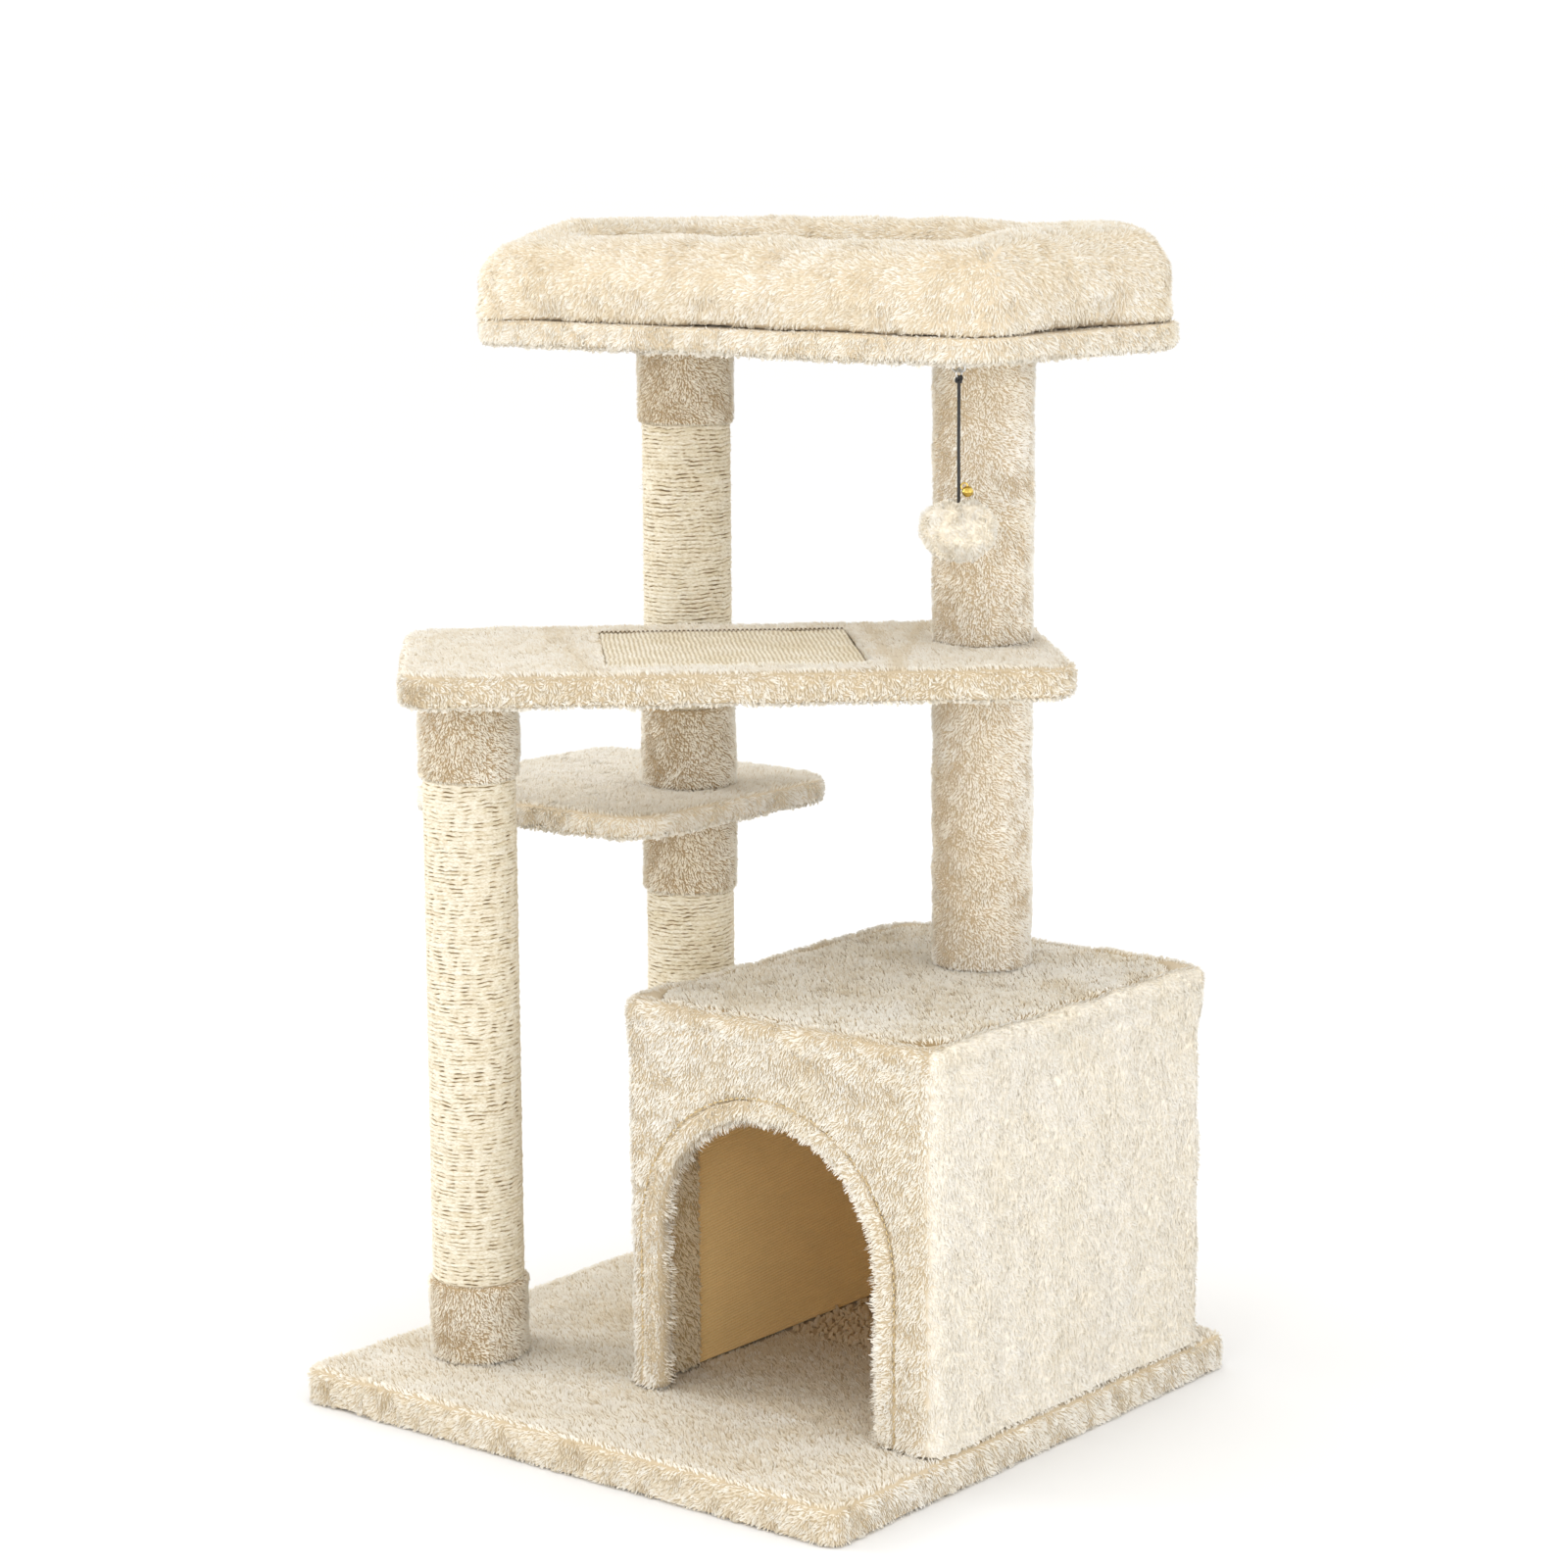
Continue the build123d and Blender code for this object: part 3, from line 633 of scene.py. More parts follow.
LOOK = {"lining": LINING, "board": BOARD, "card": CARD, "plug": PLUG, "steel": STEEL, "underlay": UNDERLAY,
        "bell_brass": BRASS, "elastic": ELASTIC, "plush": PLUSH, "plush_bed": PLUSH_BED,
        "sisal_rope": SISAL, "sisal_weave": WEAVE}
for n_, o_ in NODES.items():
    for i_, m_ in enumerate(o_.data.materials):
        o_.data.materials[i_] = LOOK[m_.name.split(".")[0]]

# --------------------------------------------------------------------- cord
# The toy's string: down from its knot in the ring to the middle of the pompom.
line = bpy.data.curves.new("toy_cord", "CURVE")
line.dimensions = "3D"
line.bevel_depth = 1.15 * MM
line.bevel_resolution = 4
line.resolution_u = 16
sp = line.splines.new("NURBS")
route = ((158.0, 10.5, 729.2), (158.0, 10.5, 714.0), (157.6, 10.8, 684.0), (158.2, 10.4, 662.0), (158.0, 10.5, 640.0))
sp.points.add(len(route) - 1)
for q, p in zip(sp.points, route):
    q.co = (p[0] * MM, p[1] * MM, p[2] * MM, 1.0)
sp.order_u = 3
sp.use_endpoint_u = True
line.use_fill_caps = True
line.materials.append(ELASTIC)
cord = bpy.data.objects.new("toy_cord", line)
SCENE.collection.objects.link(cord)
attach(cord, "toy")

# -------------------------------------------------------------------- plush
DOWN = (0.0, 0.0, -1.0)


def outward(cx, cy, lift=0.0, drift=(0.0, 0.0)):
    """Nap that falls outward from a middle line and down the edges."""
    def d(p):
        out = np.zeros_like(p)
        out[:, 0] = drift[0] + (p[:, 0] - cx) * 0.004
        out[:, 1] = drift[1] + (p[:, 1] - cy) * 0.004
        out[:, 2] = -0.35 + lift
        return out
    return d


IN = 2.4      # how far the pile's root lies under the plush's outer face
SIDE = 0.4    # the same at the boards' edges, where the pile stands out

# base: skin under the pile, closed underneath by a hem
v, f = slab(480 - 2 * SIDE, 471 - 2 * SIDE, 11.0, 0.4, 28 - IN, top=6.5, bottom=2.2, step=8.0)
v = soften(v, f, 0.35, 60, 3)
v[:, 2] = np.maximum(v[:, 2], 0.35)
pelt = Pelt()
pelt.skin(v, f)


def base_seen(c, n):
    under = n[:, 2] < -0.3
    wall = (c[:, 0] > CX0 + 3) & (c[:, 0] < CX1 - 3) & (c[:, 1] > CY0 + 5) & (c[:, 1] < CY1 - 3)
    room = (c[:, 0] > -18) & (c[:, 0] < 223) & (c[:, 1] > -122) & (c[:, 1] < 194)
    deep = room & (c[:, 1] > 40)
    return ~under & ~(wall & ~room) & ~deep


def base_deep(c, n):
    return (n[:, 2] > 0.5) & (c[:, 0] > -18) & (c[:, 0] < 223) & (c[:, 1] > 40) & (c[:, 1] < 194)


AWAY = (-0.62, 0.78, -0.25)
p, n = scatter(v, f, 1.3, 5, base_seen)
edge = n[:, 2] < 0.72


# inside the condo the base's pile is painted darker: painted shade under the condo
def base_tone(q):
    room = (q[:, 0] > -18) & (q[:, 0] < 223) & (q[:, 1] > -112)
    return np.where(room, 0.12, 0.42 + 0.10 * wave(q, 70, 4))


pelt.pile(*thinned(p, n, ~edge, 0.68, 13), (-0.95, 0.25, 0.0), long=3.2, wide=0.52, lean=56, clump=3.6, pull=0.55, seed=6, floor=0.3, tone=base_tone, spread=0.26)
pe, ne = p[edge], n[edge]
# the pile deep inside the condo is painted dark (tone 0.1): painted shade
p, n = scatter(v, f, 4.2, 7, base_deep)
pelt.pile(p, n, AWAY, long=5.2, wide=1.7, lean=58, seed=8, tone=0.1)
pelt.build("base_plush", PLUSH, "frame", ["base_cover"], "plush")
pelt = Pelt()
# the base's front face is painted darker than its other edges: painted shade on that face
pelt.pile(pe, ne, (-0.3, -0.1, -0.8), long=3.0, wide=0.46, lean=46, swirl=0.6, clump=2.8, pull=0.6, seed=9, floor=0.3,
          tone=lambda q: np.where(q[:, 1] < -225, 0.22, 0.62), spread=0.32)
pelt.build("base_edge_pile", PLUSH, "frame", ["base_cover"], "plush")


# condo walls: one band round the four sides, cut out for the doorway
def arch_loop(hw, spring, foot, step):
    k = round(math.pi * hw / step)
    head = [(DOOR_X + hw * math.cos(a), spring + hw * math.sin(a)) for a in np.linspace(0, math.pi, k + 1)]
    m = round((spring - foot) / step)
    leg1 = [(DOOR_X + hw, foot + (spring - foot) * i / m) for i in range(m)]
    leg2 = [(DOOR_X - hw, spring - (spring - foot) * i / m) for i in range(1, m + 1)]
    return np.array(leg1 + head + leg2)


def arch_gap(x, z, hw=DOOR_HW):
    """Distance outside the doorway's edge, for points on the front wall."""
    dx = np.abs(x - DOOR_X)
    return np.where(z < SPRING, dx - hw, np.hypot(x - DOOR_X, z - SPRING) - hw)


W0, W1, D0, D1 = CX0 + 0.8, CX1 - 0.8, CY0 + 0.8, CY1 - 0.8
WALL_R = 12.5
WX, WY = (W0 + W1) / 2, (D0 + D1) / 2
LX, LY = W1 - W0, D1 - D0
# the wall's run: s goes along the front (left to right), the right side, the back and the left side
corner = math.pi / 2 * WALL_R
sides = [LX - 2 * WALL_R, LY - 2 * WALL_R, LX - 2 * WALL_R, LY - 2 * WALL_R]
RUN = sum(sides) + 4 * corner


def wall_point(s):
    """Places (x, y) and outward directions on the wall's run."""
    s = np.asarray(s, float) % RUN
    x, y, nx, ny = (np.zeros(len(s)) for _ in range(4))
    at = 0.0
    start = [(W0 + WALL_R, D0), (W1, D0 + WALL_R), (W1 - WALL_R, D1), (W0, D1 - WALL_R)]
    go = [(1, 0), (0, 1), (-1, 0), (0, -1)]
    out = [(0, -1), (1, 0), (0, 1), (-1, 0)]
    for k in range(4):
        m = (s >= at - 1e-9) & (s <= at + sides[k] + 1e-9)
        u = s[m] - at
        x[m], y[m] = start[k][0] + go[k][0] * u, start[k][1] + go[k][1] * u
        nx[m], ny[m] = out[k]
        at += sides[k]
        m = (s > at + 1e-9) & (s <= at + corner + 1e-9)
        a = (s[m] - at) / WALL_R + math.radians(-90 + 90 * k)
        ccx = (W1 - WALL_R) if k in (0, 1) else (W0 + WALL_R)
        ccy = (D0 + WALL_R) if k in (0, 3) else (D1 - WALL_R)
        x[m], y[m] = ccx + WALL_R * np.cos(a), ccy + WALL_R * np.sin(a)
        nx[m], ny[m] = np.cos(a), np.sin(a)
        at += corner
    return x, y, nx, ny


Z_LOW, Z_SEAM = 28.4, 299.5


def wall_skin(s0, s1, door, step=7.0):
    """A stretch of the wall's plush as a closed band: bulged at its top roll, flared where it meets the base."""
    k = round((s1 - s0) / step)
    m = round((Z_SEAM - Z_LOW) / step)
    loop = [(s0 + (s1 - s0) * i / k, Z_LOW) for i in range(k)] + [(s1, Z_LOW + (Z_SEAM - Z_LOW) * i / m) for i in range(m)]
    loop += [(s1 - (s1 - s0) * i / k, Z_SEAM) for i in range(k)] + [(s0, Z_SEAM - (Z_SEAM - Z_LOW) * i / m) for i in range(m)]
    if door:
        # the doorway reaches the floor, so it is a notch in the loop's lower side
        shift = W0 + WALL_R
        notch = arch_loop(DOOR_HW + 2.0, SPRING, Z_LOW, step)[::-1]
        notch = np.column_stack((notch[:, 0] - shift, notch[:, 1]))
        low = [q for q in loop[:k] if q[0] < notch[0, 0] - 2.5]
        high = [q for q in loop[:k] if q[0] > notch[-1, 0] + 2.5]
        loop = low + [tuple(q) for q in notch] + high + loop[k:]
    sv, sf = fill([np.array(loop)], step)
    x, y, nx, ny = wall_point(sv[:, 0])
    z = sv[:, 1]
    topq = np.clip((z - 262) / (Z_SEAM - 262), 0, 1)
    roll = np.sin(np.clip(topq, 0, 1) * math.pi * 0.93) ** 1.2 * 2.9
    tuck = np.clip((z - (Z_SEAM - 9)) / 9, 0, 1) ** 2 * -3.0
    foot = np.clip(1 - (z - Z_LOW) / 20, 0, 1) ** 2 * 2.6
    p3 = np.column_stack((x, y, z))
    puff = wave(p3, 120, 41) * 0.7 + wave(p3, 38, 42) * 0.45
    bulge = roll + tuck + foot + puff
    if door:
        g = arch_gap(x, z)
        front = ny < -0.9
        bulge = np.where(front, bulge - 1.6 * np.exp(-((g - 15.0) / 2.6) ** 2) - 0.9 * np.exp(-((g - 4) / 5.0) ** 2), bulge)
    outer = np.column_stack((x + nx * bulge, y + ny * bulge, z))
    inner = np.column_stack((x - nx * 3.6, y - ny * 3.6, z))
    q = len(sv)
    b = len(loop)
    i = np.arange(b)
    j = (i + 1) % b
    # seen from outside, s runs left to right and z up, so anticlockwise faces point outward
    rim = np.vstack((np.stack((i, q + i, q + j), 1), np.stack((i, q + j, j), 1)))
    return outer, sf, np.vstack((outer, inner)), np.vstack((sf, sf[:, ::-1] + q, rim))


def wall_nap(p):
    out = np.zeros_like(p)
    out[:, 2] = -1.0
    out[:, 0] = 0.25
    return out


edge_s = -corner - 24.0
rear_s = sides[0] + sides[1] + corner * 1.5
walls = (("condo_plush_front", edge_s, rear_s, True, 1.34), ("condo_plush_rear", rear_s, RUN + edge_s, False, 1.8))
for q_, (name_, s0_, s1_, door_, gap_) in enumerate(walls):
    ov, of_, v, f = wall_skin(s0_, s1_, door_)
    pelt, pale = Pelt(), Pelt()
    # the skin on the right side is painted lighter (tip 0.34): painted light on that side
    pelt.skin(v, f, tip=np.where(v[:, 0] > W1 - 5, 0.34, 0.0))
    p, n = scatter(ov, of_, gap_, 50 + q_)
    clear = p[:, 2] < Z_SEAM - 1.2
    if door_:
        g = arch_gap(p[:, 0], p[:, 2])
        clear &= (n[:, 1] > -0.8) | (np.abs(g - 15.0) > 1.3)
    p, n = p[clear], n[clear]
    side_ = n[:, 0] > 0.5
    # the front wall's pile is painted lighter towards its left end: painted light
    pelt.pile(p[~side_], n[~side_], wall_nap, long=2.9, wide=0.46, lean=50, swirl=0.4, clump=3.0, pull=0.62, seed=64 + q_, floor=26.0,
              tone=lambda q: 0.48 + 0.40 * np.clip((70 - q[:, 0]) / 80, 0, 1) + 0.06 * wave(q, 70, 61), spread=0.28)
    pelt.build(name_, PLUSH, "frame", ["condo_wall_cover"], "plush")
    if side_.any():
        # the right side's pile uses the lit-side plush and a light tone: painted light; its tone also falls low down
        # towards the back
        pale.pile(*thinned(p, n, side_, 0.74, 66), wall_nap, long=3.0, wide=0.5, lean=60, swirl=0.35, clump=3.6, pull=0.5, seed=60 + q_, floor=26.0,
                  tone=lambda q: 0.62 + 0.06 * wave(q, 80, 62) - 0.2 * np.clip((70 - q[:, 2]) / 50, 0, 1) * np.clip(q[:, 1] / 150, 0, 1), spread=0.22)
        pale.build(name_ + "_side", PLUSH_LIT_SIDE, "frame", ["condo_wall_cover"], "plush")


def outline(w, d, r, kc, kw, kd):
    """Rounded rectangle with a fixed count of points: kc to a corner, kw and kd to a side."""
    p = []
    for cx, cy, a0, k in ((1, -1, -90, kd), (1, 1, 0, kw), (-1, 1, 90, kd), (-1, -1, 180, kw)):
        turn = [math.radians(a0 + 90 * i / kc) for i in range(kc + 1)]
        arc = [np.array((cx * (w / 2 - r) + r * math.cos(a), cy * (d / 2 - r) + r * math.sin(a))) for a in turn]
        go = np.array((-math.sin(turn[-1]), math.cos(turn[-1])))
        length = (d if k == kd else w) - 2 * r
        p += arc + [arc[-1] + go * length * i / k for i in range(1, k)]
    return np.array(p)


def ring_mesh(sections):
    """A closed ring lofted through outlines of equal count, given in order round its section."""
    rows, m = len(sections), len(sections[0])
    v = np.vstack(sections)
    j, i = np.meshgrid(np.arange(rows), np.arange(m), indexing="ij")
    a, b = (j * m + i).ravel(), (j * m + (i + 1) % m).ravel()
    c, d = (((j + 1) % rows) * m + (i + 1) % m).ravel(), (((j + 1) % rows) * m + i).ravel()
    f = np.vstack((np.stack((a, b, c), 1), np.stack((a, c, d), 1)))
    vol = (v[f[:, 0]] * np.cross(v[f[:, 1]], v[f[:, 2]])).sum()
    return v, (f if vol > 0 else f[:, ::-1])


# the walls' plush rolls over the top edge and is seamed to the roof's plush on the top
CXM, CYM = (CX0 + CX1) / 2, (CY0 + CY1) / 2
sect = ((0.9, 276.0, 12.5), (-0.3, 284.0, 12.5), (-1.6, 290.0, 12.8), (-2.3, 295.5, 13.2), (-1.8, 300.0, 14.0), (0.0, 303.4, 16.0), (2.8, 305.1, 21.0),
        (6.0, 305.2, 27.0), (8.7, 304.0, 32.0), (9.8, 302.6, 34.0), (9.8, 298.5, 34.0), (6.0, 296.0, 20.0), (5.2, 288.0, 16.0), (4.4, 277.0, 13.0))
rows_ = []
for i_, z_, r_ in sect:
    o_ = outline(267 - 2 * i_, 330 - 2 * i_, r_, 9, 38, 46) + np.array((CXM, CYM))
    rows_.append(np.column_stack((o_, np.full(len(o_), z_))))
v, f = ring_mesh(rows_)
p3_ = v.copy()
lift_ = np.clip((v[:, 2] - 285) / 15, 0, 1)
v = np.where((v[:, 2] > 284)[:, None], v + normals(v, f) * ((wave(p3_, 70, 74) * 0.55 + wave(p3_, 24, 75) * 0.35) * lift_)[:, None], v)
pelt = Pelt()
# the skin on the right side is painted lighter (tip 0.34): painted light on that side
pelt.skin(v, f, tip=np.where(v[:, 0] > CX1 - 4, 0.34, 0.0))
p, n = scatter(v, f, 1.4, 76, lambda c, n: (c[:, 2] > 279) & ((np.minimum(np.minimum(c[:, 0] - CX0, CX1 - c[:, 0]), np.minimum(c[:, 1] - CY0, CY1 - c[:, 1])) < 8.6)
                                            & (n[:, 2] > -0.75)))
far_ = np.minimum(np.minimum(p[:, 0] - CX0, CX1 - p[:, 0]), np.minimum(p[:, 1] - CY0, CY1 - p[:, 1]))
keep_ = ((n[:, 0] * (p[:, 0] - CXM) + n[:, 1] * (p[:, 1] - CYM)) > -40) | (n[:, 2] > 0.3)
p, n = p[keep_], n[keep_]


def roll_nap(q):
    out = np.zeros_like(q)
    dx, dy = q[:, 0] - CXM, q[:, 1] - CYM
    sx = np.abs(dx) / 133.5 > np.abs(dy) / 165.0
    out[:, 0] = np.where(sx, np.sign(dx), 0.0) * 0.8
    out[:, 1] = np.where(sx, 0.0, np.sign(dy)) * 0.8
    out[:, 2] = -0.9
    return out


side_ = (p[:, 0] > CX1 - 10) & (np.abs(p[:, 1] - CYM) < 165 - 8)
pelt.pile(p[~side_], n[~side_], roll_nap, long=2.9, wide=0.46, lean=50, swirl=0.5, clump=3.0, pull=0.6, seed=77, tone=0.46, spread=0.28)
pale = Pelt()
# the roll's right side uses the lit-side plush and a lighter tone: painted light
pale.pile(p[side_], n[side_], roll_nap, long=3.0, wide=0.48, lean=56, swirl=0.4, clump=3.4, pull=0.5, seed=79, tone=0.6, spread=0.24)
pale.build("roof_edge_roll_side", PLUSH_LIT_SIDE, "frame", ["condo_roof_cover"], "plush")
pelt.build("roof_edge_roll", PLUSH, "frame", ["condo_roof_cover"], "plush")

# roof: a soft lid over the board inside that roll
v, f = slab(271 - 25.0, 334 - 25.0, 34.5, Z_SEAM + 0.3, 307 - IN, at=(CXM, CYM), top=3.4, bottom=1.2, step=7.0)
v = soften(v, f, 0.3, 50, 71)
pelt = Pelt()
pelt.skin(v, f)
p, n = scatter(v, f, 1.5, 72, lambda c, n: (n[:, 2] > 0.25) & (np.hypot(c[:, 0] - RIGHT[0], c[:, 1] - RIGHT[1]) > 30))


def roof_tone(q):
    """A paler oval by the post; the rest is a little darker."""
    e = ((q[:, 0] - 176) / 46) ** 2 + ((q[:, 1] - 120) / 26) ** 2
    return 0.42 + 0.12 * wave(q, 60, 78) + 0.42 * np.clip(1.25 - e, 0, 1)


pelt.pile(p, n, lambda q: np.column_stack((np.full(len(q), -0.8), np.full(len(q), 0.3), np.full(len(q), -0.2))),
          long=2.9, wide=0.46, lean=44, clump=3.0, pull=0.66, seed=73, tone=roof_tone, spread=0.3)
pelt.build("roof_plush", PLUSH_ROOF, "frame", ["condo_roof_cover"], "plush")


# doorway binding: a plush roll sewn round the edge and turned into the jamb
def arch_path(step):
    pts = arch_loop(DOOR_HW, SPRING, 28.6, step)
    d = np.where(pts[:, 1:2] > SPRING, unit(pts - np.array((DOOR_X, SPRING))), np.column_stack((np.sign(pts[:, 0] - DOOR_X), np.zeros(len(pts)))))
    return pts, d


pts, d = arch_path(4.0)
prof = [(-0.6, -110.0), (-1.2, -114.0), (-1.2, -118.5), (-0.5, -121.4), (1.4, -123.4), (5.0, -124.2), (9.0, -124.0), (12.6, -122.8), (13.6, -121.2),
        (11.0, -119.6), (7.0, -119.0), (4.4, -117.0), (4.2, -113.0), (3.6, -110.0)]
rows = []
for q, e in zip(pts, d):
    rows.append([(q[0] + e[0] * o, y, q[1] + e[1] * o) for o, y in prof])
v = np.array(rows).reshape(-1, 3)
m = len(prof)
f = strips(len(rows), m)
ends = []
for base_i in (0, (len(rows) - 1) * m):
    ends += [(base_i, base_i + i, base_i + i + 1) if base_i else (base_i, base_i + i + 1, base_i + i) for i in range(1, m - 1)]
f = np.vstack((f, np.array(ends)))
c = v[f].mean(1)
# faces point away from the roll's own middle
mid = np.array([(q[0] + e[0] * 5.0, -118.6, q[1] + e[1] * 5.0) for q, e in zip(pts, d)])
near = mid[np.minimum(f[:, 0] // m, len(mid) - 1)]
wrong = ((c - near) * face_normals(v, f)).sum(1) < 0
if wrong.mean() > 0.5:
    f = f[:, ::-1]
v = soften(v, f, 0.35, 18, 81)
pelt = Pelt()
pelt.skin(v, f)


def bind_seen(c, n):
    return (c[:, 1] < -110.5) & ~((n[:, 1] > 0.25))


p, n = scatter(v, f, 1.5, 82, bind_seen)


def bind_nap(q):
    """The roll's pile lies toward the opening on its front and into the room inside."""
    out = np.zeros_like(q)
    hi = q[:, 2] > SPRING
    e = np.where(hi[:, None], unit(np.column_stack((q[:, 0] - DOOR_X, q[:, 2] - SPRING))), np.column_stack((np.sign(q[:, 0] - DOOR_X), np.zeros(len(q)))))
    out[:, 0], out[:, 2] = -e[:, 0], -e[:, 1] - 0.35
    out[:, 1] = -0.25
    return out


lip = arch_gap(p[:, 0], p[:, 2]) < 1.2
pelt.pile(p[~lip], n[~lip], bind_nap, long=3.0, wide=0.48, lean=50, clump=3.2, pull=0.58, seed=83, floor=27.0, tone=0.5, spread=0.28)
pelt.pile(p[lip], n[lip], (0.0, -1.0, -0.3), long=4.3, wide=0.42, lean=22, clump=2.6, pull=0.6, seed=84, floor=27.0, vary=0.4, tone=0.9, spread=0.15, blunt=0.3)
pelt.build("door_binding_plush", PLUSH, "frame", ["condo_door_binding"], "plush")

# plush turned in along the side walls behind the doorway
pelt = Pelt()
for k, (x0, x1, inward) in enumerate(((-16.8, -11.8, 1.0), (216.8, 221.8, -1.0))):
    sx0, sx1 = (x0, x1 - IN) if inward > 0 else (x0 + IN, x1)
    v, f = slab(sx1 - sx0, 45.0, 1.2, 28.6, 249.0, at=((sx0 + sx1) / 2, -86.3), top=1.0, bottom=1.0, step=5.0)
    pelt.skin(v, f)
    p, n = scatter(v, f, 1.5, 90 + k, lambda c, n: n[:, 0] * inward > 0.5)
    pelt.pile(p, n, DOWN, long=2.9, wide=0.5, lean=52, clump=3.2, pull=0.55, seed=92 + k, floor=27.0)
    p, n = scatter(v, f, 2.3, 94 + k, lambda c, n: n[:, 1] > 0.5)
    pelt.pile(p, n, DOWN, long=3.4, wide=0.9, lean=50, seed=96 + k, floor=27.0)
pelt.build("door_return_plush", PLUSH_DOOR_SHADE, "frame", ["condo_door_returns"], "plush")

# shelf, with a window for the scratch mat
half = MAT / 2 + 0.3
win = []
for (x0, y0), (x1, y1) in (((-1, -1), (1, -1)), ((1, -1), (1, 1)), ((1, 1), (-1, 1)), ((-1, 1), (-1, -1))):
    win += [((x0 + (x1 - x0) * i / 26) * half, (y0 + (y1 - y0) * i / 26) * half) for i in range(26)]
ct, st = math.cos(math.radians(SHELF_TURN)), math.sin(math.radians(SHELF_TURN))
off = np.array((MAT_AT[0] - SHELF_AT[0], MAT_AT[1] - SHELF_AT[1]))
off = np.array((ct * off[0] + st * off[1], -st * off[0] + ct * off[1]))
window = np.array(win) + off
v, f = slab(458 - 2 * SIDE, 252 - 2 * SIDE, 28 - SIDE, 515 + IN * 0.7, 540 - IN * 0.8, at=SHELF_AT, turn=SHELF_TURN, top=6.5, bottom=5.0, step=7.0, window=window)
v = soften(v, f, 0.3, 60, 101)
pelt = Pelt()
pelt.skin(v, f)


def mat_local(c):
    dx, dy = c[:, 0] - MAT_AT[0], c[:, 1] - MAT_AT[1]
    return ct * dx + st * dy, -st * dx + ct * dy


def shelf_top(c, n):
    u, w = mat_local(c)
    return (n[:, 2] > -0.35) & ~((np.abs(u) < half + 0.6) & (np.abs(w) < half + 0.6)) & (c[:, 2] > 514.0)


def shelf_tone(q):
    """Partings in the nap beside the mat, drawn as darker stripes, which are painted shade in the partings; the top is
    also a little darker towards one end.
    """
    u, w = mat_local(q)
    part = np.exp(-((u + 112 + 0.10 * w) / 7) ** 2) * 0.30 + np.exp(-((u - 108) / 6) ** 2) * 0.42 + np.exp(-((u - 128 - 0.2 * w) / 5) ** 2) * 0.38
    return 0.44 - 0.10 * np.clip(-u / 150, 0, 1) + 0.06 * wave(q, 50, 108) - part


u_dir = np.array((ct, st, 0.0))
w_dir = np.array((-st, ct, 0.0))
p, n = scatter(v, f, 1.25, 102, shelf_top)
flat = n[:, 2] > 0.75
pelt.pile(*thinned(p, n, flat, 0.64, 109), lambda q: np.broadcast_to(0.8 * w_dir - 0.5 * u_dir, q.shape), long=3.0, wide=0.52, lean=58, clump=3.6, pull=0.5, seed=103, tone=shelf_tone, spread=0.24)
# the shelf's edges are painted darker than its top (tone 0.26): painted shade on those faces
pelt.pile(p[~flat], n[~flat], (0.3, 0.2, -1.0), long=3.0, wide=0.47, lean=44, swirl=0.7, clump=3.0, pull=0.66, seed=106, tone=lambda q: 0.26 + 0.06 * wave(q, 40, 107), spread=0.36)
p, n = scatter(v, f, 2.7, 104, lambda c, n: n[:, 2] <= -0.35)
pelt.pile(p, n, lambda q: np.broadcast_to(-0.8 * w_dir, q.shape), long=4.4, wide=1.15, lean=58, seed=105)
pelt.build("shelf_plush", PLUSH, "frame", ["shelf_cover"], "plush")

# scratch mat: woven sisal in real relief, its edges tucked under the plush
k = 290
g = np.linspace(-MAT / 2, MAT / 2, k)
gx, gy = np.meshgrid(g, g)
flat3 = np.column_stack((gx.ravel(), gy.ravel(), np.zeros(k * k)))
pitch = 3.3
jx = gx.ravel() + 0.35 * wave(flat3, 26, 111)
jy = gy.ravel() + 0.35 * wave(flat3, 26, 112)
over = np.sin(math.pi * jx / pitch) * np.sin(math.pi * jy / pitch)
weft = np.abs(np.sin(math.pi * jy / pitch)) ** 0.6
warp = np.abs(np.sin(math.pi * jx / pitch)) ** 0.6
lift = np.maximum(weft * (0.56 + 0.44 * over), warp * (0.5 - 0.5 * over))
lift = np.clip(lift + 0.06 * wave(flat3 * np.array((1, 3, 1)), 5, 113), 0, 1.1)
edge = np.minimum(MAT / 2 - np.abs(gx.ravel()), MAT / 2 - np.abs(gy.ravel()))
z = 537.4 + 1.5 * lift + 0.12 * wave(flat3, 40, 114) - np.clip(1 - edge / 5.0, 0, 1) ** 2 * 0.7
v = np.column_stack((gx.ravel(), gy.ravel(), z))
i, j = np.meshgrid(np.arange(k - 1), np.arange(k - 1))
a = (j * k + i).ravel()
f = np.vstack((np.stack((a, a + 1, a + k + 1), 1), np.stack((a, a + k + 1, a + k), 1)))
rim = np.concatenate((np.arange(k), np.arange(1, k) * k + k - 1, (k - 1) * k + np.arange(k - 2, -1, -1), np.arange(k - 2, 0, -1) * k))
low = v[rim].copy()
low[:, 2] = 535.2
ri = np.arange(len(rim))
rj = (ri + 1) % len(rim)
fl = len(v)
cen = fl + len(rim)
f = np.vstack((f, np.stack((fl + ri, fl + rj, rim[rj]), 1), np.stack((fl + ri, rim[rj], rim[ri]), 1),
               np.stack((fl + rj, fl + ri, np.full(len(rim), cen)), 1)))
v = np.vstack((v, low, [(0, 0, 535.2)]))
tip = np.concatenate((lift, np.zeros(len(rim) + 1)))
v = turned(v, MAT_AT, SHELF_TURN)
mat_o = make("scratch_mat_weave", v, f, WEAVE, tip)
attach(mat_o, "frame")
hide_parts("scratch_mat")

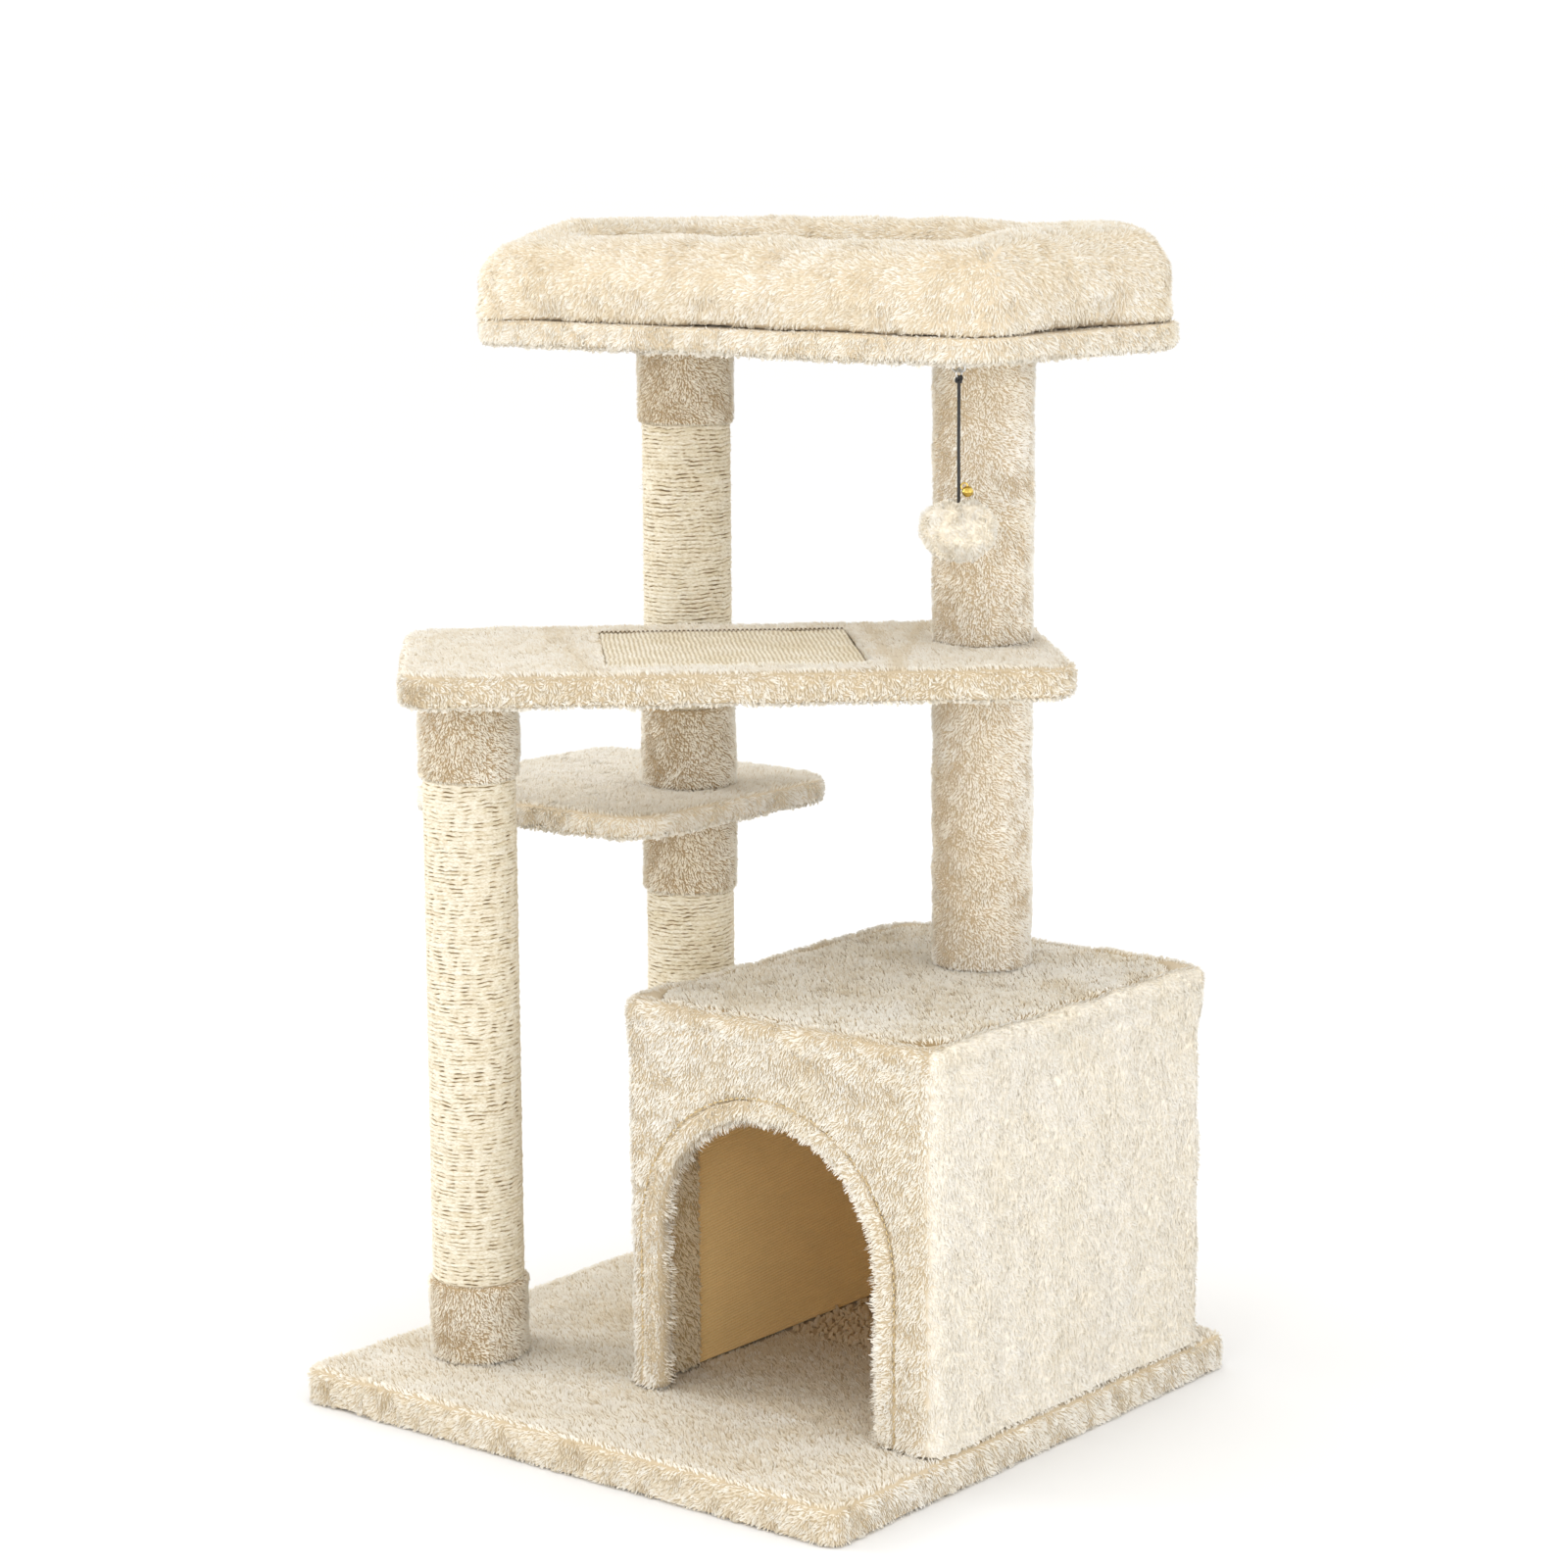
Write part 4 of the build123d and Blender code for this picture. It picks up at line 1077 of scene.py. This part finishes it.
# the mat's back edge is sewn down with a dark thread
sv, sf = [], []
for k in range(54):
    mid_ = -MAT / 2 + 2.2 + k * (MAT - 4.4) / 53
    at_ = len(sv)
    for u_, w_, h_ in ((-1.15, 0.2, -0.9), (-0.75, 0.5, 0.0), (0.0, 0.6, 0.35), (0.75, 0.5, 0.0), (1.15, 0.2, -0.9)):
        for t_ in range(6):
            a_ = t_ * math.pi / 3
            sv.append((mid_ + u_, MAT / 2 - 0.9 + w_ * math.cos(a_), 539.3 + h_ + w_ * math.sin(a_)))
    for k_ in range(4):
        for t_ in range(6):
            p0, p1 = at_ + k_ * 6 + t_, at_ + k_ * 6 + (t_ + 1) % 6
            sf += [(p0, p1, p0 + 6), (p1, p1 + 6, p0 + 6)]
    sf += [(at_, at_ + t_ + 1, at_ + t_) for t_ in range(1, 5)]
    sf += [(at_ + 24, at_ + 24 + t_, at_ + 24 + t_ + 1) for t_ in range(1, 5)]
sew = make("mat_stitches", turned(np.array(sv), MAT_AT, SHELF_TURN), np.array(sf), DARK_THREAD)
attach(sew, "frame")

# side perch
v, f = slab(240 - 2 * SIDE, 240 - 2 * SIDE, 38 - SIDE, 391 + IN * 0.7, 411 - IN * 0.7, at=(-214.0, 88.5), top=5.5, bottom=4.5, step=7.0)
v = soften(v, f, 0.3, 50, 121)
pelt = Pelt()
pelt.skin(v, f)
p, n = scatter(v, f, 1.25, 122, lambda c, n: n[:, 2] > -0.35)
flat = n[:, 2] > 0.75
pelt.pile(*thinned(p, n, flat, 0.64, 127), (-0.4, 0.85, 0), long=3.0, wide=0.52, lean=56, clump=3.6, pull=0.55, seed=123)
# the perch's edges are painted lighter than its top (tone 0.95): painted light on the edges
pelt.pile(p[~flat], n[~flat], (0.1, 0, -1.0), long=3.0, wide=0.47, lean=46, swirl=0.7, clump=3.0, pull=0.55, seed=126, tone=0.95, spread=0.2)
p, n = scatter(v, f, 2.7, 124, lambda c, n: n[:, 2] <= -0.35)
pelt.pile(p, n, (0.4, -0.8, 0), long=4.4, wide=1.25, lean=58, seed=125)
pelt.build("mid_perch_plush", PLUSH_BED, "frame", ["mid_perch_cover"], "plush")

# top perch
v, f = slab(468 - 2 * SIDE, 262 - 2 * SIDE, 36 - SIDE, 742 + IN * 0.7, 762 - IN * 0.45, at=(-35.5, 109.5), top=2.4, bottom=6.0, step=6.0)
v = soften(v, f, 0.3, 60, 131)
pelt = Pelt()
pelt.skin(v, f)
p, n = scatter(v, f, 1.3, 132, lambda c, n: np.abs(n[:, 2]) < 0.9)
pelt.pile(p, n, DOWN, long=3.1, wide=0.48, lean=48, swirl=0.6, clump=3.2, pull=0.62, seed=133, tone=0.55, spread=0.3)
p, n = scatter(v, f, 2.9, 134, lambda c, n: n[:, 2] <= -0.9)
pelt.pile(p, n, (0.3, -0.8, 0), long=4.4, wide=1.2, lean=58, seed=135)
p, n = scatter(v, f, 4.0, 136, lambda c, n: n[:, 2] >= 0.9)
p[:, 2] -= 1.0
pelt.pile(p, n, (0.3, -0.8, 0), long=3.0, wide=1.6, lean=72, seed=137)
pelt.build("top_perch_plush", PLUSH_BED, "frame", ["top_perch_cover"], "plush")


# posts' plush bands and sleeves
def sleeve_pelt(name, at, spans, nodes, seed, mat=PLUSH_TAN, lean=44.0):
    pelt = Pelt()
    for k, (z0, z1) in enumerate(spans):
        v, f = sleeve(at, 29.6, 36.8 - IN, z0 + 0.3, z1 - 0.3, 3.0, 5.0)
        rad = np.hypot(v[:, 0] - at[0], v[:, 1] - at[1])
        w = soften(v, f, 0.35, 34, seed + k)
        v = np.where((rad > 31)[:, None], w, v)
        v[:, 2] = np.clip(v[:, 2], z0 + 0.2, z1 - 0.2)
        pelt.skin(v, f)
        first = len(pelt.v)
        p, n = scatter(v, f, 1.18, seed + 10 + k, lambda c, nn: (np.hypot(c[:, 0] - at[0], c[:, 1] - at[1]) > 31.0))
        pelt.pile(p, n, lambda q: np.column_stack((-(q[:, 1] - at[1]) * 0.012, (q[:, 0] - at[0]) * 0.012, np.full(len(q), -0.8))),
                  long=2.5, wide=0.385, lean=lean, swirl=0.5, clump=2.6, pull=0.64, seed=seed + 20 + k, tone=0.56, spread=0.34, own=0.34)
        for part in pelt.v[first:]:
            part[:, 2] = np.clip(part[:, 2], z0 - 1.5, z1 + 2.0)
    pelt.build(name, mat, "frame", nodes, "plush")


sleeve_pelt("front_post_plush", FRONT, ((26, 84), (448, 517)), ["front_post_bands"], 200)
sleeve_pelt("back_post_lower_plush", BACK, ((26, 88), (330, 393)), ["back_post_lower_bands"], 240)
sleeve_pelt("back_post_upper_plush", BACK, ((409, 471), (682, 744)), ["back_post_upper_bands"], 280)
sleeve_pelt("right_post_lower_plush", RIGHT, ((304.8, 517),), ["right_post_lower_sleeve"], 320, PLUSH_SLEEVE)
sleeve_pelt("right_post_upper_plush", RIGHT, ((538, 744),), ["right_post_upper_sleeve"], 360, PLUSH_SLEEVE)


# posts' sisal winding: one rope laid round and round, with its twist in the surface
def winding(name, at, z0, z1, nodes, seed, deep=0.58, pitch=3.1):
    seg, per = 116, 7
    turns = (z1 - z0) / pitch
    rows = int(turns * per) + 1
    th = np.linspace(0, 2 * math.pi, seg, endpoint=False)
    zz = np.linspace(z0, z1, rows)
    T, Z = np.meshgrid(th, zz)
    T, Z = T.ravel(), Z.ravel()
    ring = np.column_stack((40 * np.cos(T), 40 * np.sin(T), Z))
    jig = 0.11 * wave(ring * np.array((1, 1, 2.5)), 40, seed) + 0.07 * wave(ring, 11, seed + 1)
    ph = (Z - z0) / pitch - T / (2 * math.pi) + jig
    turn = np.floor(ph)
    u = ph - turn
    along = 32.0 * (T + 2 * math.pi * turn)
    one = np.column_stack((along, turn * 7.3, np.zeros(len(T))))
    fat = 1 + 0.10 * wave(one, 28, seed + 2)
    gap = np.clip(0.92 + 0.10 * wave(one, 17, seed + 3), 0.70, 1.0)
    x = np.clip(np.abs(2 * u - 1) / gap, 0, 1)
    crown = np.sqrt(np.clip(1 - x ** 2.4, 0, 1))
    # dash sets how deep the grooves between turns run, in the surface and in the painted shade of the sisal colour
    dash = np.clip(deep + 0.95 * wave(one, 6.5, seed + 8) + 0.24 * wave(one, 45, seed + 10), 0.16, 1.0)
    crown = 1 - dash * (1 - crown)
    strand = np.abs(np.sin(math.pi * (along / 6.4 + 0.9 * u + 0.25 * wave(one, 40, seed + 4))))
    fibre = wave(np.column_stack((along * 0.5, u * 9 + turn * 5.0, np.zeros(len(T)))), 1.9, seed + 5)
    h = crown * fat * (0.86 + 0.14 * strand ** 0.7) + 0.035 * fibre * crown
    rad = 31.2 + 1.85 * h
    ends = np.clip(np.minimum(Z - z0, z1 - Z) / 2.0, 0, 1)
    rad = 30.0 + (rad - 30.0) * (0.3 + 0.7 * ends)
    v = np.column_stack((at[0] + rad * np.cos(T), at[1] + rad * np.sin(T), Z))
    f = strips(rows, seg)
    inner = np.column_stack((at[0] + 29.6 * np.cos(th), at[1] + 29.6 * np.sin(th), np.full(seg, z0)))
    inner2 = inner.copy()
    inner2[:, 2] = z1
    q = len(v)
    v = np.vstack((v, inner, inner2))
    i = np.arange(seg)
    j = (i + 1) % seg
    last = (rows - 1) * seg
    lo, hi = q, q + seg
    f = np.vstack((f, np.stack((i, lo + i, lo + j), 1)[:, ::-1], np.stack((i, lo + j, j), 1)[:, ::-1],
                   np.stack((last + i, last + j, hi + j), 1), np.stack((last + i, hi + j, hi + i), 1),
                   np.stack((lo + i, hi + i, hi + j), 1), np.stack((lo + i, hi + j, lo + j), 1)))
    tip = np.concatenate((np.clip(h * (0.82 + 0.18 * strand), 0, 1), np.zeros(2 * seg)))
    tone = np.concatenate((np.clip(0.55 + 0.14 * wave(one, 60, seed + 6) + 0.10 * wave(one, 4, seed + 7), 0, 1), np.full(2 * seg, 0.5)))
    o = make(name, v, f, SISAL, tip, tone)
    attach(o, "frame")
    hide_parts(*nodes)
    # loose ends of fibre that stand off the winding
    r = np.random.default_rng(seed + 9)
    m = int((z1 - z0) * 1.5)
    a, z = r.uniform(0, 2 * math.pi, m), r.uniform(z0 + 4, z1 - 4, m)
    nrm = np.column_stack((np.cos(a), np.sin(a), np.zeros(m)))
    tan = np.column_stack((-np.sin(a), np.cos(a), np.zeros(m))) * np.where(r.random(m) < 0.5, 1, -1)[:, None]
    foot = np.column_stack((at[0] + 32.4 * np.cos(a), at[1] + 32.4 * np.sin(a), z))
    length = r.uniform(4, 11, m)[:, None]
    out = r.uniform(0.10, 0.42, m)[:, None]
    fall = r.normal(0, 0.22, m)[:, None] * np.array((0, 0, 1.0))
    mid = foot + length * 0.5 * (tan * 0.92 + nrm * out + fall * 0.6)
    tipp = foot + length * (tan * 0.86 + nrm * out * 1.1 + fall)
    w = r.uniform(0.09, 0.17, m)[:, None]
    ring = []
    for c, k in ((foot, 1.0), (mid, 0.8)):
        ring += [c + nrm * w * k, c - nrm * w * k * 0.5 + np.array((0, 0, 1.0)) * w * k, c - nrm * w * k * 0.5 - np.array((0, 0, 1.0)) * w * k]
    hv = np.stack(ring + [tipp], 1)
    base = np.arange(m)[:, None, None] * 7
    hf = np.array(((0, 2, 1), (0, 1, 4), (0, 4, 3), (1, 2, 5), (1, 5, 4), (2, 0, 3), (2, 3, 5), (3, 4, 6), (4, 5, 6), (5, 3, 6)))
    hf = (hf[None] + base).reshape(-1, 3)
    o = make(name + "_fibres", hv.reshape(-1, 3), hf, SISAL, np.full(m * 7, 0.9), np.repeat(r.uniform(0.35, 1.0, m), 7))
    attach(o, "frame")


winding("front_post_winding", FRONT, 83, 449, ["front_post_sisal"], 400)
# the back posts stand in shade, so their grooves are made deeper and darker (deep 0.85): painted shade
winding("back_post_lower_winding", BACK, 87, 331, ["back_post_lower_sisal"], 430, 0.85)
winding("back_post_upper_winding", BACK, 470, 683, ["back_post_upper_sisal"], 460, 0.85)


# ---------------------------------------------------------------------- bed
def inflate(v, f, voxel, pressure, frames, cap):
    """Cloth swelled by inside pressure; no point moves further than the cap."""
    me = bpy.data.meshes.new("swell")
    me.from_pydata((v * MM).tolist(), [], f.tolist())
    o = bpy.data.objects.new("swell", me)
    SCENE.collection.objects.link(o)
    bpy.context.view_layer.objects.active = o
    me.remesh_voxel_size = voxel * MM
    bpy.ops.object.select_all(action="DESELECT")
    o.select_set(True)
    bpy.ops.object.voxel_remesh()
    me = o.data
    rest = np.zeros(len(me.vertices) * 3)
    me.vertices.foreach_get("co", rest)
    rest = rest.reshape(-1, 3)
    now = rest
    md = o.modifiers.new("swell", "CLOTH")
    md.settings.quality = 5
    md.settings.mass = 0.25
    md.settings.use_pressure = True
    md.settings.uniform_pressure_force = pressure
    md.settings.effector_weights.gravity = 0.0
    md.settings.tension_stiffness = md.settings.compression_stiffness = 25.0
    md.settings.bending_stiffness = 0.6
    md.collision_settings.use_collision = False
    md.point_cache.frame_start, md.point_cache.frame_end = 1, frames
    for k in range(1, frames + 1):
        SCENE.frame_set(k)
    ev = o.evaluated_get(bpy.context.evaluated_depsgraph_get())
    now = np.zeros(len(rest) * 3)
    ev.data.vertices.foreach_get("co", now)
    now = now.reshape(-1, 3)
    SCENE.frame_set(1)
    o.modifiers.remove(md)
    step = now - rest
    far = np.linalg.norm(step, axis=1, keepdims=True)
    now = rest + step * np.minimum(1.0, cap * MM / np.maximum(far, 1e-9))
    me.calc_loop_triangles()
    tri = np.zeros(len(me.loop_triangles) * 3, np.int32)
    me.loop_triangles.foreach_get("vertices", tri)
    bpy.data.objects.remove(o)
    return now / MM, tri.reshape(-1, 3).astype(int)


BED_AT = (-35.5, 109.5)
rim_out = outline(466.0, 260.0, 36.0, 9, 52, 24)
rim_in = outline(338.0, 132.0, 22.0, 9, 52, 24)
sect = []
for t in np.linspace(0, 2 * math.pi, 36, endpoint=False):
    c_, s_ = math.cos(t), math.sin(t)
    a_ = math.copysign(abs(c_) ** (0.60 if s_ > 0 else 0.16), c_)
    b_ = (36.0 if s_ > 0 else 32.0) * math.copysign(abs(s_) ** (0.85 if s_ > 0 else 0.42), s_)
    xy = (rim_out + rim_in) / 2 + (rim_out - rim_in) / 2 * a_ + np.array(BED_AT)
    sect.append(np.column_stack((xy, np.full(len(xy), 796.0 + b_))))
v, f = ring_mesh(sect)
v, f = inflate(v, f, 6.0, 4.0, 20, 5.0)
v[:, 2] = np.maximum(v[:, 2], 764.6)
# the rim bellies out over the board between a tight foot and its crown
up_ = np.clip((v[:, 2] - 764.6) / 70, 0, 1)
belly = 4.6 * np.sin(np.clip(up_ * 1.25, 0, 1) * math.pi) ** 0.8
for c_, lo_, hi_ in ((0, -270.5, 196.5), (1, -20.5, 239.5)):
    mid_ = (lo_ + hi_) / 2
    v[:, c_] = lo_ + (v[:, c_] - v[:, c_].min()) * (hi_ - lo_) / np.ptp(v[:, c_])
    far_ = np.clip((np.abs(v[:, c_] - mid_) / ((hi_ - lo_) / 2) - 0.72) / 0.28, 0, 1)
    foot_ = 8.6 * np.clip((782 - v[:, 2]) / 16, 0, 1) ** 1.2
    v[:, c_] += np.sign(v[:, c_] - mid_) * (belly + foot_) * far_
# the front rim is pressed down and its crown wanders; the back and the right end stand up
x, y = v[:, 0], v[:, 1]
frontness = np.clip((70 - y) / 60, 0, 1)
rightness = np.clip((x - 60) / 120, 0, 1)
low = 1 - 0.155 * frontness * (1 - 0.60 * rightness) + 0.0 * (1 - frontness)
sag = 1 + (0.030 * np.sin(x / 62.0 + 2.2) + 0.005 * np.sin(x / 23.0)) * frontness
v[:, 2] = 760.9 + (v[:, 2] - v[:, 2].min()) * (low * sag)
v = soften(v, f, 0.7, 95, 501)
v = soften(v, f, 0.25, 30, 502)
v[:, 2] = np.maximum(v[:, 2], 760.9)
pelt = Pelt()
pelt.skin(v, f)


def bed_nap(q):
    """The fur is combed along the rim and down its outside."""
    out = np.zeros_like(q)
    out[:, 0], out[:, 1], out[:, 2] = -0.55, 0.25, -0.75
    return out


p, n = scatter(v, f, 1.42, 503, lambda c, n: n[:, 2] > -0.75)
pelt.pile(p, n, bed_nap, long=3.3, wide=0.45, lean=56, swirl=0.4, clump=3.4, pull=0.55, seed=504, floor=759.4,
          tone=lambda q: 0.24 + 0.05 * wave(q, 80, 505) + 0.08 * np.clip((q[:, 0] - 150) / 45, 0, 1), spread=0.34)
for o_ in pelt.build("bed_rim_plush", PLUSH_BED, "bed", ["bed_bolster"], "plush_bed"):
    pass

# the bed's floor cushion
v, f = slab(318, 112, 34, 764, 779.5, at=BED_AT, top=6.0, bottom=5.0, step=8.0)
v, f = inflate(v, f, 6.0, 4.0, 20, 6.0)
dx, dy = (v[:, 0] - BED_AT[0]) / 165, (v[:, 1] - BED_AT[1]) / 62
crown = np.clip(1 - dx ** 4, 0, 1) * np.clip(1 - dy ** 4, 0, 1)
topside = np.clip((v[:, 2] - 770) / 8, 0, 1)
v[:, 2] += topside * (crown * 2.2 - 1.2)
v[:, 2] = np.clip(v[:, 2], 763.4, 784.0)
pelt = Pelt()
pelt.skin(v, f)
p, n = scatter(v, f, 1.7, 511, lambda c, n: n[:, 2] > -0.3)
pelt.pile(p, n, (0.5, -0.8, -0.3), long=3.6, wide=0.54, lean=56, clump=3.8, pull=0.55, seed=512, floor=762.8, tone=0.45)
for o_ in pelt.build("bed_cushion_plush", PLUSH_BED, "bed", ["bed_cushion"], "plush_bed"):
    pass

# ---------------------------------------------------------------------- toy
# pompom: two soft lobes gathered by the string
k = 36
tt = np.linspace(0, math.pi, k)[1:-1]
ph = np.linspace(0, 2 * math.pi, 2 * k, endpoint=False)
pv = np.vstack([np.column_stack((np.sin(t) * np.cos(ph), np.sin(t) * np.sin(ph), np.full(2 * k, -math.cos(t)))) for t in tt])
pf = strips(len(tt), 2 * k)
q = len(pv)
i = np.arange(2 * k)
j = (i + 1) % (2 * k)
lastr = (len(tt) - 1) * 2 * k
pf = np.vstack((pf, np.stack((j, i, np.full(2 * k, q)), 1), np.stack((lastr + i, lastr + j, np.full(2 * k, q + 1)), 1)))
pv = np.vstack((pv, [(0, 0, -1.0), (0, 0, 1.0)]))
lobe = np.array((math.cos(math.radians(38)), math.sin(math.radians(38)), 0.0))
acr = pv @ lobe
dent = 0.13 * np.exp(-(acr / 0.22) ** 2) * np.clip(0.35 + pv[:, 2], 0, 1)
rr = (1 - dent) * (1 + 0.03 * wave(pv * 20, 16, 601))
v = pv * rr[:, None] * np.array((24.6, 24.6, 20.0)) + np.array((HANG[0], HANG[1], 630.3))
pelt = Pelt()
pelt.skin(v, pf, tip=0.3)
p, n = scatter(v, pf, 1.25, 602)
pelt.pile(p, n, lambda q_: np.column_stack((wave(q_, 16, 603), wave(q_, 16, 604), wave(q_, 16, 605) - 0.4)), long=3.0, wide=0.46, lean=36,
          swirl=0.9, clump=2.6, pull=0.5, seed=606, tone=0.62, spread=0.26)
pom = pelt.build("pompom_plush", PLUSH_BED, "toy", ["toy_pompom"], "plush_bed")[0]

# bell: a ball of thin brass with its sound slot, a rolled waist and a hanging eye
bc = np.array((HANG[0] + 6.0 * math.cos(math.radians(38)), HANG[1] + 6.0 * math.sin(math.radians(38)), 656.0))
k = 20
tt = np.linspace(0, math.pi, k + 1)[1:-1]
ph = np.linspace(0, 2 * math.pi, 40, endpoint=False)


def ball(radius, inward):
    pts_ = []
    for t in tt:
        waist = 0.10 * math.exp(-((t - math.pi / 2) / 0.09) ** 2)
        rr_ = radius * (1 + waist)
        slot = np.exp(-((np.sin(ph)) * math.sin(t) / 0.13) ** 2) * np.clip((math.cos(t) - 0.05) * 3.0, 0, 1)
        rr2 = rr_ * (1 - inward * 0.0 - 0.30 * slot)
        pts_.append(np.column_stack((rr2 * math.sin(t) * np.cos(ph), rr2 * math.sin(t) * np.sin(ph), -rr2 * math.cos(t))))
    return np.vstack(pts_)


bv = ball(3.9, 0)
bf = strips(len(tt), 40)
q = len(bv)
i = np.arange(40)
j = (i + 1) % 40
lastr = (len(tt) - 1) * 40
bf = np.vstack((bf, np.stack((j, i, np.full(40, q)), 1), np.stack((lastr + i, lastr + j, np.full(40, q + 1)), 1)))
bv = np.vstack((bv, [(0, 0, -2.7), (0, 0, 3.9)])) + bc
eye_dir = np.array((-math.cos(math.radians(38)), -math.sin(math.radians(38)), 0.0))
ring_c = bc + np.array((0, 0, 3.6)) + eye_dir * 2.2
ev = []
aa = np.linspace(0, 2 * math.pi, 24, endpoint=False)
bb = np.linspace(0, 2 * math.pi, 10, endpoint=False)
for a1 in aa:
    rad_d = eye_dir * math.cos(a1) + np.array((0, 0, 1.0)) * math.sin(a1)
    for b1 in bb:
        ev.append(ring_c + rad_d * (2.3 + 0.55 * math.cos(b1)) + np.cross(eye_dir, (0, 0, 1.0)) * 0.55 * math.sin(b1))
ev = np.array(ev)
jj, ii = np.meshgrid(np.arange(24), np.arange(10), indexing="ij")
a = (jj * 10 + ii).ravel()
b = (jj * 10 + (ii + 1) % 10).ravel()
c = (((jj + 1) % 24) * 10 + (ii + 1) % 10).ravel()
d = (((jj + 1) % 24) * 10 + ii).ravel()
ef = np.vstack((np.stack((a, b, c), 1), np.stack((a, c, d), 1)))
bv, bf = join((bv, bf), (ev, ef))
bell = make("toy_bell_shell", bv, bf, BRASS)
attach(bell, "toy")
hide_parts("toy_bell")

# knot of the string in the ring; the part's own string is hidden
kp = []
aa = np.linspace(0, 2 * math.pi, 60, endpoint=False)
bb = np.linspace(0, 2 * math.pi, 8, endpoint=False)
kc = np.array((158.0, 10.5, 731.6))
cen = np.column_stack((2.0 * np.cos(2 * aa) * (1 + 0.35 * np.cos(3 * aa)) * 0.8, 1.7 * np.sin(2 * aa) * (1 + 0.35 * np.cos(3 * aa)) * 0.8, 1.9 * np.sin(3 * aa))) + kc
tg = unit(np.roll(cen, -1, 0) - np.roll(cen, 1, 0))
s1 = unit(np.cross(tg, np.array((0.2, 0.3, 0.93))))
s2 = np.cross(tg, s1)
kv = (cen[:, None] + 0.95 * (np.cos(bb)[None, :, None] * s1[:, None] + np.sin(bb)[None, :, None] * s2[:, None])).reshape(-1, 3)
jj, ii = np.meshgrid(np.arange(60), np.arange(8), indexing="ij")
a = (jj * 8 + ii).ravel()
b = (jj * 8 + (ii + 1) % 8).ravel()
c = (((jj + 1) % 60) * 8 + (ii + 1) % 8).ravel()
d = (((jj + 1) % 60) * 8 + ii).ravel()
kf = np.vstack((np.stack((a, b, c), 1), np.stack((a, c, d), 1)))
knot = make("toy_cord_knot", kv, kf, ELASTIC)
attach(knot, "toy")
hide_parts("toy_string")

# stitches beside the doorway's binding
pts, d = arch_path(1.0)
gap_at = 15.0
pathl = np.column_stack((pts[:, 0] + d[:, 0] * gap_at, np.full(len(pts), CY0 + 0.9), pts[:, 1] + d[:, 1] * gap_at))
leng = np.concatenate(([0], np.cumsum(np.linalg.norm(np.diff(pathl, axis=0), axis=1))))
sv, sf = [], []
pos = 2.0
while pos < leng[-1] - 4:
    a_ = np.array([np.interp(pos, leng, pathl[:, c_]) for c_ in range(3)])
    b_ = np.array([np.interp(pos + 3.4, leng, pathl[:, c_]) for c_ in range(3)])
    ax = unit(b_ - a_)
    out = np.array((0, -1.0, 0))
    sd = np.cross(ax, out)
    at_ = len(sv)
    rings_ = ((0.0, 0.25, -0.5), (0.18, 0.48, 0.15), (0.5, 0.52, 0.42), (0.82, 0.48, 0.15), (1.0, 0.25, -0.5))
    for u_, w_, h_ in rings_:
        cc_ = a_ + (b_ - a_) * u_ + out * h_
        for t_ in range(6):
            sv.append(cc_ + w_ * (math.cos(t_ * math.pi / 3) * sd + math.sin(t_ * math.pi / 3) * out))
    for k_ in range(4):
        for t_ in range(6):
            p0, p1 = at_ + k_ * 6 + t_, at_ + k_ * 6 + (t_ + 1) % 6
            sf += [(p0, p0 + 6, p1), (p1, p0 + 6, p1 + 6)]
    sf += [(at_, at_ + t_ + 1, at_ + t_) for t_ in range(1, 5)]
    sf += [(at_ + 24, at_ + 24 + t_, at_ + 24 + t_ + 1) for t_ in range(1, 5)]
    pos += 5.0
stitch = make("door_stitches", np.array(sv), np.array(sf), THREAD)
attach(stitch, "frame")

# ------------------------------------------------------------------- studio
me = bpy.data.meshes.new("studio_floor")
ringp = [(60 * math.cos(a_), 60 * math.sin(a_), -0.0004) for a_ in np.linspace(0, 2 * math.pi, 96, endpoint=False)]
me.from_pydata(ringp, [], [list(range(96))])
floor = bpy.data.objects.new("studio_floor", me)
SCENE.collection.objects.link(floor)
FLOOR, ft, fb = nodes_of("studio_paper")
fcol = ramp(ft, noise(ft, coords(ft), 0.5, 1.0), (0.3, (0.845, 0.845, 0.843)), (0.7, (0.85, 0.85, 0.848)))
link(ft, fcol, fb.inputs["Base Color"])
fb.inputs["Roughness"].default_value = 0.95
fb.inputs["Specular IOR Level"].default_value = 0.0
fb.inputs["Emission Color"].default_value = (1.0, 1.0, 0.995, 1.0)
fb.inputs["Emission Strength"].default_value = 0.0
me.materials.append(FLOOR)

world = bpy.data.worlds.new("studio")
SCENE.world = world
world.use_nodes = True
bg = world.node_tree.nodes["Background"]
bg.inputs["Color"].default_value = (1.0, 0.995, 0.985, 1.0)
bg.inputs["Strength"].default_value = 1.2


def soft_light(name, at, aim, size, power, tint=(1.0, 1.0, 1.0)):
    d = bpy.data.lights.new(name, "AREA")
    d.shape = "DISK"
    d.size = size
    d.energy = power
    d.color = tint
    o = bpy.data.objects.new(name, d)
    o.location = at
    o.rotation_mode = "QUATERNION"
    o.rotation_quaternion = (Vector(aim) - Vector(at)).to_track_quat("-Z", "Y")
    SCENE.collection.objects.link(o)


soft_light("key_left", (-2.4, -1.2, 1.5), (0, 0, 0.45), 1.5, 26.0)
soft_light("fill_right", (2.5, -0.4, 1.1), (0, 0, 0.45), 1.5, 14.0)
soft_light("fill_front", (1.0, -2.95, 0.5), (0.0, 0, 0.30), 1.2, 19.0)

SCENE.view_settings.view_transform = "Standard"
SCENE.view_settings.look = "None"
SCENE.view_settings.exposure = 0.0
SCENE.view_settings.gamma = 1.0

bpy.context.view_layer.update()
